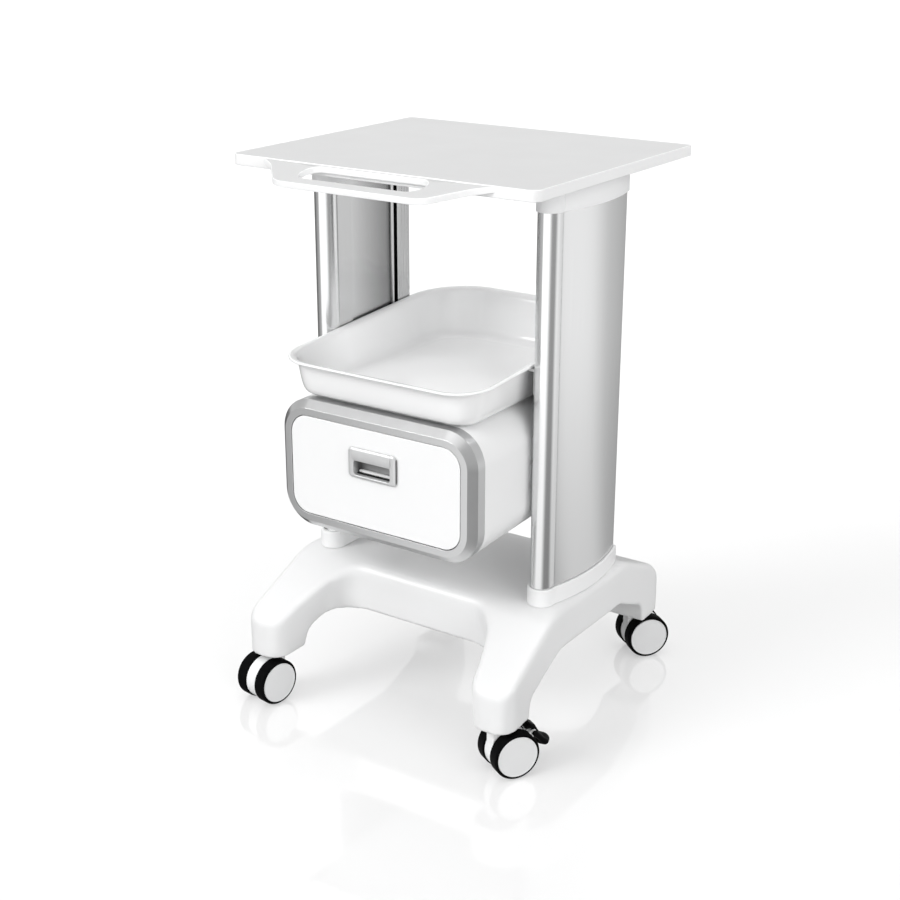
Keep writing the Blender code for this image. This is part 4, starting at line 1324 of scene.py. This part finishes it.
    def pull_details(self) -> None:
        """Build the hood over the finger opening, the ledge at its bottom, and a black bar under the ledge
        that paints the shadow of the gap.

        The hood's section is a power of a half sine from its lower to its upper edge, carried
        across.
        """
        share = np.linspace(0.0, 1.0, self.hood_points)
        bottom = self.mouth_low + self.mouth_height - self.hood_lap
        top = self.pull_middle + self.pull_height / 2.0 - self.hood_below
        swell = self.hood_bulge * np.sin(np.pi * share) ** self.hood_power
        front = np.stack((self.pull_face - self.hood_proud - swell, bottom + (top - bottom) * share), -1)
        back = self.pull_face + self.hood_back
        hood = np.concatenate((front[::-1], ((back, bottom), (back, top))))
        reach = self.mouth_half + self.hood_beside
        across = slab_profile(-reach, reach, self.hood_edge, self.small_flat)
        add_piece("drawer_pull_hood", [skin(carry(hood, across, Axis.X))], PULL_SILVER, Body.DRAWER,
                  ["drawer_pull"])
        for bar in PULL_BARS:
            outline = rectangle(
                bar.half, self.front + bar.near, self.front + bar.far, self.bar_radius, self.bar_steps)
            low = self.mouth_low + bar.base
            profile = slab_profile(low, low + bar.height, self.bar_edge, self.small_flat)
            add_piece(f"drawer_pull_{bar.name}", [skin(carry(outline, profile, Axis.Z))], bar.finish,
                      Body.DRAWER, ["drawer_pull"])

    def box(self) -> None:
        """Build the open box behind the drawer front."""
        start = self.front + self.panel_thick + FIT
        outline = rectangle(self.box_half, start, self.box_rear, self.box_radius, self.box_steps)
        low, floor = self.box_low, self.box_low + self.box_wall
        inner_rim = np.array(self.box_rim)[::-1] * np.array((-1.0, 1.0))
        profile = np.concatenate((
            ((-self.box_inset, low),), shifted(self.box_foot, 0.0, low),
            shifted(self.box_rim, 0.0, self.box_high), shifted(inner_rim, -self.box_wall, self.box_high),
            shifted(self.box_floor, -self.box_wall, floor), ((-self.box_inset, floor),)))
        add_piece("drawer_tray_box", [skin(carry(outline, profile, Axis.Z))], SHELL_WHITE, Body.DRAWER,
                  ["drawer_box"])

    def build(self) -> None:
        """Build every piece of the drawer."""
        self.bezel()
        self.case()
        self.face()
        self.pull()
        self.pull_details()
        self.box()


@dataclass
class Base:
    """Moulded base cover on four legs, and the chassis inside it."""

    leg_bottom: float = 0.0815
    deck: float = 0.221
    wall: float = 0.0065
    front_x: float = 0.2164
    front_y: float = -0.232
    rear_x: float = 0.197
    rear_y: float = 0.234
    leg_half: float = 0.0354
    leg_corner: float = 0.032
    leg_drop: float = 0.077
    rear_drop: float = 0.064
    leg_round: float = 0.014
    rear_round: float = 0.085
    wall_y: float = 0.130
    crotch: float = 0.036
    foot_in: float = -0.003
    root_in: float = 0.055
    waist_x: float = 0.2412
    waist_y: float = 0.070
    waist_radius: float = 0.250
    deck_half: float = 0.118
    deck_round: float = 0.100
    arch_rise: float = 0.071
    arch_flat: float = 0.100
    arch_edge: float = 0.004
    leg_back: float = 0.031
    shoulder: float = 0.032
    shoulder_in: float = 0.012
    shoulder_radius: float = 0.024
    closed_top: float = 0.150
    edge: float = 0.013
    foot_edge: float = 0.003
    plan_steps: int = 14
    side_steps: int = 24
    below: float = 0.071
    beyond: float = 0.001
    cell: float = 0.003
    grid_low: Point = (-0.2611, -0.2771, 0.0771)
    grid_high: Point = (0.2611, 0.2781, 0.2271)
    plate_half: float = 0.2132
    plate_depth: float = 0.095
    plate_radius: float = 0.013
    plate_thick: float = 0.008
    plate_edge: float = 0.001
    socket: float = 0.024
    socket_low: float = 0.0785
    socket_top: float = 0.1305
    socket_edge: float = 0.0012
    socket_points: int = 72
    arm_half: float = 0.013
    arm_radius: float = 0.002
    arm_steps: int = 4
    arm_x: float = 0.1872
    arm_y: float = 0.069

    def plan(self, root_in: float) -> Array:
        """Outline of the base seen from above.

        Args:
            root_in: how far the inner side of a leg comes in from its end to its root.

        Returns:
            Points of the outline.
        """
        end = self.leg_half
        return rounded_outline(mirrored((
            (self.front_x - end - root_in, -self.wall_y, self.crotch),
            (self.front_x - end, self.front_y - end, self.leg_corner),
            (self.front_x + end, self.front_y - end, self.leg_corner),
            (self.waist_x, -self.waist_y, self.waist_radius),
            (self.waist_x, self.waist_y, self.waist_radius),
            (self.rear_x + end, self.rear_y + end, self.leg_corner),
            (self.rear_x - end, self.rear_y + end, self.leg_corner),
            (self.rear_x - end - root_in, self.wall_y, self.crotch))), self.plan_steps)

    def profile(self) -> Array:
        """Outline of the base seen from the side, drawn on below the legs.

        Returns:
            Points (y, z) of the outline.
        """
        front = self.front_y - self.leg_half - self.beyond
        rear = self.rear_y + self.leg_half + self.beyond
        low = self.leg_bottom - self.below
        return rounded_outline((
            (front, low, self.beyond), (rear, low, self.beyond),
            (rear, self.deck - self.rear_drop, self.rear_round),
            (self.deck_half, self.deck, self.deck_round), (-self.deck_half, self.deck, self.deck_round),
            (front, self.deck - self.leg_drop, self.leg_round)), self.side_steps)

    def arch(self) -> Array:
        """Outline of the tunnel under the base, seen from the side.

        Returns:
            Points (y, z) of the outline.
        """
        front, rear = self.front_y + self.leg_back, self.rear_y - self.leg_back
        low, top = self.leg_bottom - self.below, self.leg_bottom + self.arch_rise
        mid = self.leg_bottom + self.shoulder
        return rounded_outline((
            (front, low, self.beyond), (rear, low, self.beyond),
            (rear - self.shoulder_in, mid, self.shoulder_radius), (self.arch_flat, top, self.arch_rise),
            (-self.arch_flat, top, self.arch_rise),
            (front + self.shoulder_in, mid, self.shoulder_radius)), self.side_steps)

    def cover(self) -> None:
        """Build the cover as the zero level of a field.

        The field is the rounded larger of the distances to the plan, which leans from foot to
        deck, and to the side view; a tunnel is taken out of it, and a hollow that keeps a wall
        between itself and the tunnel on the legs.
        """
        x, y, z = grid(self.grid_low, self.grid_high, self.cell)
        flat = np.stack(np.meshgrid(x, y, indexing="ij"), -1).reshape(-1, 2)
        side = np.stack(np.meshgrid(y, z, indexing="ij"), -1).reshape(-1, 2)
        foot, deck = (
            outline_distance(flat, self.plan(root)).reshape(len(x), len(y), 1)
            for root in (self.foot_in, self.root_in))
        lean = np.clip((z - self.leg_bottom) / (self.deck + self.wall - self.leg_bottom), 0.0, 1.0)
        plan = foot + (deck - foot) * lean
        high, tunnel = (
            outline_distance(side, outline).reshape(1, len(y), len(z))
            for outline in (self.profile(), self.arch()))
        outer = smooth_max(plan, high, self.edge)
        hollow = smooth_max(plan + self.wall, high + self.wall, self.edge)
        hollow = np.maximum(hollow, np.minimum(self.wall - tunnel, self.closed_top - z))
        solid = np.maximum(smooth_max(outer, self.leg_bottom - z, self.foot_edge), -hollow)
        solid = smooth_max(solid, -tunnel, self.arch_edge)
        shell = relax(surface_net(solid, np.array((x[0], y[0], z[0])), self.cell))
        # The base wears the darker copy of the white plastic as painted shade
        add_piece("base_moulding", [shell], BASE_SHADED_WHITE, Body.CART, ["base_cover"],
                  sharp=NET_SHARP, weighted=False)

    def chassis(self) -> None:
        """Build the steel plate, its arms and the turned caster sockets."""
        plate_top = self.deck - self.wall - FIT
        plate = rectangle(self.plate_half, -self.plate_depth, self.plate_depth, self.plate_radius)
        layers = slab_profile(plate_top - self.plate_thick, plate_top, self.plate_edge)
        shells = [skin(carry(plate, layers, Axis.Z))]
        ends = slab_profile(self.socket_low, self.socket_top, self.socket_edge)
        rim = unit_arc(0.0, 2.0 * np.pi, self.socket_points, closed=True) * self.socket
        bar = rectangle(self.arm_half, -self.arm_half, 0.0, self.arm_radius, self.arm_steps)
        for x, y in ((self.front_x, self.front_y), (self.rear_x, self.rear_y)):
            for _, sign in SIDES:
                shells.append(skin(carry(rim + np.array((sign * x, y)), ends, Axis.Z)))
                root = bar + np.array((sign * self.arm_x, plate_top - FIT))
                tip = bar + np.array((sign * x, self.socket_top - FIT))
                along = np.array((math.copysign(self.arm_y, y), y))
                shells.append(skin(lift(np.stack((root, tip)), along[:, None], Axis.Y)))
        add_piece("base_chassis", shells, GREY_COAT, Body.CART, ["chassis"])

    def build(self) -> None:
        """Build cover and chassis."""
        self.cover()
        self.chassis()


@dataclass
class Pedal:
    """Brake pedal of a caster, drawn with X along the caster and Z up from the wheels' axle."""

    hinge: Spot = (0.0385, 0.0215)
    bend: Spot = (0.0372, 0.0304)
    spike: Spot = (0.0283, 0.0406)
    shoe: Spot = (0.0250, 0.0300)
    pad: Spot = (0.0565, 0.0025)
    pad_half: Point = (0.0115, 0.0075, 0.0140)
    neck_radii: tuple[float, float] = (0.0046, 0.0036)
    neck_half: float = 0.0150
    neck_blend: float = 0.004
    blade_half: float = 0.0095
    blade_start: float = 0.3
    blade_radii: tuple[float, float] = (0.0052, 0.0042)
    spike_radii: tuple[float, float] = (0.0042, 0.0007)
    shoe_radii: tuple[float, float] = (0.0030, 0.0009)
    blade_blend: float = 0.003
    fork_radius: float = 0.0054
    fork_gap: float = 0.0005
    fork_edge: float = 0.0012
    cell: float = 0.0007
    grid_low: Point = (-0.022, -0.0181, -0.032)
    grid_high: Point = (0.034, 0.0181, 0.024)
    relax_rounds: int = 3

    def bar(self, flat: Array, start: Array, end: Array, radii: tuple[float, float]) -> Array:
        """Distance to a bar with round ends whose radius changes evenly.

        Args:
            flat: points, (..., 2).
            start: one end of the bar.
            end: the other end.
            radii: radius at the start and at the end.

        Returns:
            The distance at every point.
        """
        way = end - start
        share = np.clip(((flat - start) @ way) / (way @ way), 0.0, 1.0)
        gap = flat - start - share[..., None] * way
        return np.linalg.norm(gap, axis=-1) - (radii[0] + (radii[1] - radii[0]) * share)

    def surface(self, lug_half: float) -> Shell:
        """Surface of the pedal about its hinge, as the zero level of a field.

        The field blends an oval paddle, a neck from the hinge and two tapered blades, one of
        which rises to a point, and a fork clears the lug of the housing.

        Args:
            lug_half: half of the width of the housing's lug.

        Returns:
            The closed surface.
        """
        u, v, w = grid(self.grid_low, self.grid_high, self.cell)
        flat = np.stack(np.meshgrid(u, w, indexing="ij"), -1)
        wide = np.abs(v)[None, :, None]
        hinge, size = np.array(self.hinge), np.array(self.pad_half)
        pad, bend, spike, shoe = (
            np.array(spot) - hinge for spot in (self.pad, self.bend, self.spike, self.shoe))
        reach = np.sqrt((((flat - pad) / size[:2]) ** 2).sum(-1)[:, None, :] + (wide / size[2]) ** 2)
        paddle = (reach - 1.0) * size.min()
        neck = self.bar(flat, np.zeros(2), pad, self.neck_radii)
        neck = smooth_max(neck[:, None, :], wide - self.neck_half, self.neck_blend)
        blade = self.bar(flat, pad * self.blade_start, bend, self.blade_radii)
        for tip, radii in ((spike, self.spike_radii), (shoe, self.shoe_radii)):
            blade = np.minimum(blade, self.bar(flat, bend, tip, radii))
        blade = smooth_max(blade[:, None, :], wide - self.blade_half, self.blade_blend)
        whole = -smooth_max(-paddle, -neck, self.neck_blend)
        whole = -smooth_max(-whole, -blade, self.blade_blend)
        lug = self.bar(flat, np.zeros(2), -hinge, (self.fork_radius, self.fork_radius))[:, None, :]
        fork = np.maximum(wide - lug_half - self.fork_gap, lug)
        whole = smooth_max(whole, -fork, self.fork_edge)
        return relax(surface_net(whole, np.array((u[0], v[0], w[0])), self.cell), self.relax_rounds)


@dataclass
class Caster:
    """One twin-wheel caster, with a brake pedal where it has one.

    The disc's edge is listed as (distance in from its face, distance in from its rim).
    """

    name: str
    x: float
    y: float
    heading: float
    pedal: Optional[Pedal] = None
    trail: float = 0.018
    radius: float = 0.0375
    wheel_inner: float = 0.0116
    wheel_outer: float = 0.0316
    tread_shoulder: Spot = (0.0028, 0.0020)
    tread_radii: tuple[float, ...] = (0.0003, 0.0016, 0.0030, 0.0016, 0.0003)
    tread_steps: int = 6
    hub: float = 0.0329
    disc_proud: float = 0.0006
    disc_core: float = 0.006
    disc_cut: float = 0.001
    disc_edge: Pairs = ((0.0012, 0.0), (0.0, 0.0006), (0.0, 0.0018), (0.0005, 0.0024), (0.0004, 0.006))
    disc_dish: float = 0.0002
    disc_flat: float = 0.010
    disc_hole: float = 0.0002
    top: float = 0.0777
    housing_half: float = 0.0108
    housing_radius: float = 0.0350
    housing_edge: float = 0.0012
    housing_points: int = 90
    neck: float = 0.0135
    neck_cut: float = 0.001
    lug_radius: float = 0.0042
    lug_start: float = 0.030
    lug_gap: float = 0.0006
    lug_edge: float = 0.0008
    lug_points: int = 20

    def placed(self, shell: Shell, along: float = 0.0, up: float = 0.0) -> Shell:
        """Turn a surface drawn with X along the caster to its heading and put it in place.

        Args:
            shell: surface in the caster's own frame.
            along: shift along the heading.
            up: shift upwards.

        Returns:
            The surface in the cart's frame.
        """
        turn = math.radians(self.heading)
        cosine, sine = math.cos(turn), math.sin(turn)
        matrix = np.array(((cosine, -sine, 0.0), (sine, cosine, 0.0), (0.0, 0.0, 1.0)))
        local = shell.points + np.array((along, 0.0, up))
        return Shell(local @ matrix.T + np.array((self.x, self.y, 0.0)), shell.faces)

    def slab(self, outline: Array, half: float, edge: float) -> Shell:
        """Upright slab between the wheels.

        Args:
            outline: its outline, seen from the side.
            half: half of its width.
            edge: radius of its edges.

        Returns:
            The surface in the cart's frame.
        """
        return self.placed(skin(carry(outline, slab_profile(-half, half, edge), Axis.Y)))

    def housing(self) -> None:
        """Build the body between the wheels: a disc with a neck to the stem and any lug."""
        middle = np.array((self.trail, self.radius))
        right, left = (
            math.acos((side * self.neck - self.trail) / self.housing_radius) for side in (1.0, -1.0))
        arc = middle + unit_arc(left, 2.0 * np.pi + right, self.housing_points) * self.housing_radius
        cut = self.neck_cut
        neck = ((self.neck, self.top - cut), (self.neck - cut, self.top),
                (-self.neck + cut, self.top), (-self.neck, self.top - cut))
        shells = [self.slab(np.concatenate((arc, neck)), self.housing_half, self.housing_edge)]
        if self.pedal is not None:
            hinge = np.array(self.pedal.hinge)
            way = hinge / np.linalg.norm(hinge)
            across = np.array((-way[1], way[0])) * self.lug_radius
            start = middle + way * self.lug_start
            turn = unit_arc(-np.pi / 2.0, np.pi / 2.0, self.lug_points)
            tip = middle + hinge + np.outer(turn[:, 0], way) * self.lug_radius + np.outer(turn[:, 1], across)
            lug = np.concatenate((tip, (start + across, start - across)))
            shells.append(self.slab(lug, self.housing_half - self.lug_gap, self.lug_edge))
        add_piece(f"housing_{self.name}_body", shells, SHELL_WHITE, f"caster_{self.name}",
                  [f"housing_{self.name}"])

    def wheel(self, hand: str, sign: float) -> None:
        """Build one wheel: a soft tread and a disc with a raised edge.

        Args:
            hand: letter of the wheel.
            sign: side of the housing that it is on.
        """
        inner, outer, crown, seat = self.wheel_inner, self.wheel_outer, self.radius, self.hub + FIT
        aside, down = self.tread_shoulder
        places = ((inner, seat), (inner, crown), (outer - aside, crown), (outer, crown - down), (outer, seat))
        tyre = rounded_outline(np.column_stack((places, self.tread_radii)), self.tread_steps)
        face = outer + self.disc_proud
        dish = face - self.disc_dish
        disc = soften(np.concatenate((
            ((inner, 0.0), (inner, self.disc_core), (inner, self.hub - self.disc_cut)),
            ((inner + self.disc_cut, self.hub),), np.array((face, self.hub)) - np.array(self.disc_edge),
            ((dish, self.disc_flat), (dish, 0.0)))), 2)
        disc[:, 1] = np.maximum(disc[:, 1], self.disc_hole)
        mirror = np.array((sign, 1.0))
        for name, profile, ring, finish in (("tread", tyre, True, RUBBER), ("hub", disc, False, HUB_GREY)):
            shell = self.placed(skin(turned(profile * mirror), ring), self.trail, self.radius)
            add_piece(f"{name}_{self.name}_{hand}_round", [shell], finish, f"wheel_{self.name}_{hand}",
                      [f"{name}_{self.name}_{hand}"])

    def brake(self, pedal: Pedal) -> None:
        """Build the brake pedal at its hinge.

        Args:
            pedal: the pedal.
        """
        along, up = pedal.hinge
        shell = self.placed(pedal.surface(self.housing_half), self.trail + along, self.radius + up)
        add_piece("brake_pedal_lever", [shell], PEDAL_BLACK, "brake", ["brake_pedal"],
                  sharp=NET_SHARP, weighted=False)

    def build(self) -> None:
        """Build the caster's pieces and dress its pins."""
        self.housing()
        self.wheel("a", -1.0)
        self.wheel("b", 1.0)
        dress(STEEL, f"stem_{self.name}", f"axle_{self.name}")
        if self.pedal is not None:
            self.brake(self.pedal)
            dress(PEDAL_BLACK, "brake_pin")


CASTERS = (
    Caster("front_left", -Base.front_x, Base.front_y, -98.75),
    Caster("front_right", Base.front_x, Base.front_y, 59.3, Pedal()),
    Caster("rear_left", -Base.rear_x, Base.rear_y, 65.0),
    Caster("rear_right", Base.rear_x, Base.rear_y, 50.7),
)


# Studio


@dataclass
class Studio:
    """Floor, light and camera.

    Angles are in degrees, the camera's focal length and the image's side in pixels, and the
    sensor's width in millimetres. Sky and ground are (bearing from +X, grey) pairs, and a sun is
    its name, the way to it, how wide it looks, its strength and whether shiny surfaces mirror it.
    """

    azimuth: float = 34.0321
    elevation: float = 20.0579
    roll: float = 0.0902
    distance: float = 2.478
    shift_right: float = -0.0226
    shift_up: float = -0.0925
    middle: float = 0.5
    focal_pixels: float = 1562.92
    image: float = 900.0
    sensor: float = 36.0
    ambient: float = 0.50
    suns: tuple = (
        ("key", (-0.45, -0.75, 0.55), 30.0, 1.68, True),
        ("fill", (0.80, -0.35, 0.28), 44.0, 1.40, False),
        ("top", (0.0, -0.15, 1.0), 70.0, 0.58, True))
    floor_reach: float = 60.0
    floor_white: float = 0.50
    floor_glow: float = 0.44
    floor_specular: float = 0.75
    floor_patch: float = 6.0
    floor_detail: float = 2.0
    floor_rough: tuple[float, float] = (0.04, 0.08)
    band_distance: tuple[float, float] = (0.6, 2.4)
    band_strength: tuple[float, float] = (0.72, 1.05)
    sky: Pairs = (
        (-180.0, 0.60), (-150.0, 0.52), (-112.0, 0.66), (-60.0, 0.60), (-20.0, 0.60), (30.0, 0.7),
        (80.0, 0.9), (124.0, 1.0), (160.0, 0.95), (180.0, 0.60))
    ground: Pairs = (
        (-180.0, 0.14), (-152.0, 0.42), (-128.0, 0.58), (-111.0, 1.38), (-58.0, 1.40), (-43.0, 0.70),
        (-35.0, 0.36), (2.0, 0.34), (24.0, 1.0), (48.0, 0.95), (62.0, 0.60), (80.0, 0.50),
        (104.0, 0.35), (124.0, 0.10), (180.0, 0.14))

    def camera(self) -> None:
        """Put the camera at the photograph's place, aimed along its own axes."""
        turn, tilt, roll = (math.radians(angle) for angle in (self.azimuth, self.elevation, self.roll))
        back = np.array((math.sin(turn) * math.cos(tilt), -math.cos(turn) * math.cos(tilt), math.sin(tilt)))
        right = np.array((math.cos(turn), math.sin(turn), 0.0))
        up = np.cross(back, right)
        place = np.array((0.0, 0.0, self.middle)) + back * self.distance
        place += right * self.shift_right + up * self.shift_up
        level = right * math.cos(roll) + up * math.sin(roll)
        rise = up * math.cos(roll) - right * math.sin(roll)
        data = bpy.data.cameras.new("camera")
        data.sensor_width = self.sensor
        data.lens = self.focal_pixels / self.image * self.sensor
        camera = bpy.data.objects.new("camera", data)
        bpy.context.scene.collection.objects.link(camera)
        matrix = np.eye(4)
        matrix[:3] = np.stack((level, rise, back, place), -1)
        camera.matrix_world = Matrix(matrix.tolist())
        bpy.context.scene.camera = camera

    def sun(self, name: str, way: Sequence[float], angle: float, strength: float, mirrored_too: bool) -> None:
        """Add a distant lamp.

        Args:
            name: name of the lamp.
            way: direction from the cart to the lamp.
            angle: how wide it looks.
            strength: its strength.
            mirrored_too: whether shiny surfaces mirror it.
        """
        data = bpy.data.lights.new(name, "SUN")
        data.energy = strength
        data.angle = math.radians(angle)
        lamp = bpy.data.objects.new(name, data)
        bpy.context.scene.collection.objects.link(lamp)
        lamp.rotation_euler = Vector(way).to_track_quat("Z", "Y").to_euler()
        lamp.visible_glossy = mirrored_too

    def bearing(self, graph: Graph, place: bpy.types.NodeSocket, stops: Pairs) -> bpy.types.NodeSocket:
        """Grey that depends on the compass bearing of a place or direction.

        Args:
            graph: node tree to add to.
            place: vector of the place.
            stops: (bearing from +X, grey) from -180 to 180.

        Returns:
            The colour.
        """
        parts = graph.add("ShaderNodeSeparateXYZ", {"Vector": place})
        around = graph.add(
            "ShaderNodeMath", {0: parts.outputs["Y"], 1: parts.outputs["X"]}, operation="ARCTAN2")
        share = graph.add("ShaderNodeMapRange", {
            "Value": around.outputs["Value"], "From Min": -math.pi, "From Max": math.pi})
        ramp = graph.add("ShaderNodeValToRGB", {"Fac": share.outputs["Result"]})
        while len(ramp.color_ramp.elements) < len(stops):
            ramp.color_ramp.elements.new(1.0)
        for stop, (angle, level) in zip(ramp.color_ramp.elements, stops):
            stop.position = (angle + 180.0) / 360.0
            stop.color = (level, level, level, 1.0)
        return ramp.outputs["Color"]

    def world(self) -> None:
        """Pale surroundings: white to the camera, softly banded where metal mirrors them."""
        world = bpy.data.worlds.new("surroundings")
        bpy.context.scene.world = world
        world.use_nodes = True
        graph = Graph(world.node_tree)
        ray = graph.add("ShaderNodeLightPath")
        way = graph.add("ShaderNodeTexCoord").outputs["Generated"]
        plain, banded, white = (
            graph.add("ShaderNodeBackground", {"Color": color, "Strength": strength}).outputs["Background"]
            for color, strength in (
                (WHITE, self.ambient), (self.bearing(graph, way, self.sky), 1.0), (WHITE, 1.0)))
        gloss = graph.add("ShaderNodeMixShader", {"Fac": ray.outputs["Is Glossy Ray"], 1: plain, 2: banded})
        seen = graph.add("ShaderNodeMixShader", {
            "Fac": ray.outputs["Is Camera Ray"], 1: gloss.outputs["Shader"], 2: white})
        graph.add("ShaderNodeOutputWorld", {"Surface": seen.outputs["Shader"]})

    def floor_finish(self) -> bpy.types.Material:
        """Pale glossy finish that keeps the cart's shadow and a faint reflection.

        Metal mirrors it in bands by bearing, darker near the cart.

        Returns:
            The material.
        """
        material = bpy.data.materials.new("pale_floor")
        material.use_nodes = True
        graph = Graph(material.node_tree)
        ray = graph.add("ShaderNodeLightPath")
        place = graph.add("ShaderNodeTexCoord").outputs["Object"]
        noise = graph.add("ShaderNodeTexNoise", {
            "Vector": place, "Scale": self.floor_patch, "Detail": self.floor_detail})
        rough = graph.add("ShaderNodeMapRange", {
            "Value": noise.outputs["Fac"], "To Min": self.floor_rough[0], "To Max": self.floor_rough[1]})
        shader = graph.add("ShaderNodeBsdfPrincipled", {
            "Base Color": (*(self.floor_white,) * 3, 1.0), "Roughness": rough.outputs["Result"],
            "Specular IOR Level": self.floor_specular})
        bright = graph.add("ShaderNodeMapRange", {
            "Value": ray.outputs["Is Camera Ray"], "To Min": 0.0, "To Max": self.floor_glow})
        glow = graph.add("ShaderNodeEmission", {"Color": WHITE, "Strength": bright.outputs["Result"]})
        lit = graph.add("ShaderNodeAddShader", {0: shader.outputs["BSDF"], 1: glow.outputs["Emission"]})
        away = graph.add("ShaderNodeVectorMath", {0: place}, operation="LENGTH")
        near = graph.add("ShaderNodeMapRange", {
            "Value": away.outputs["Value"],
            "From Min": self.band_distance[0], "From Max": self.band_distance[1],
            "To Min": self.band_strength[0], "To Max": self.band_strength[1]})
        banded = graph.add("ShaderNodeEmission", {
            "Color": self.bearing(graph, place, self.ground), "Strength": near.outputs["Result"]})
        both = graph.add("ShaderNodeMixShader", {
            "Fac": ray.outputs["Is Glossy Ray"], 1: lit.outputs["Shader"], 2: banded.outputs["Emission"]})
        graph.add("ShaderNodeOutputMaterial", {"Surface": both.outputs["Shader"]})
        return material

    def floor(self) -> None:
        """Lay the floor."""
        reach = self.floor_reach
        mesh = bpy.data.meshes.new("floor")
        corners = ((-reach, -reach, 0.0), (reach, -reach, 0.0), (reach, reach, 0.0), (-reach, reach, 0.0))
        mesh.from_pydata(corners, [], [(0, 1, 2, 3)])
        mesh.materials.append(self.floor_finish())
        floor = bpy.data.objects.new("floor", mesh)
        bpy.context.scene.collection.objects.link(floor)

    def build(self) -> None:
        """Set up floor, light and camera."""
        bpy.context.scene.view_settings.view_transform = "Standard"
        self.floor()
        self.world()
        for settings in self.suns:
            self.sun(*settings)
        self.camera()


def main() -> None:
    """Build every part of the cart and its studio."""
    logging.basicConfig(level=logging.INFO, format="%(name)s: %(message)s")
    Base().build()
    for side, sign in SIDES:
        Column(side, sign).build()
        dress(STEEL, *(f"{name}_{side}" for name in STEEL_PIECES))
    Table().build()
    Tray().build()
    Drawer().build()
    for caster in CASTERS:
        caster.build()
    Studio().build()


if __name__ == "__main__":
    main()
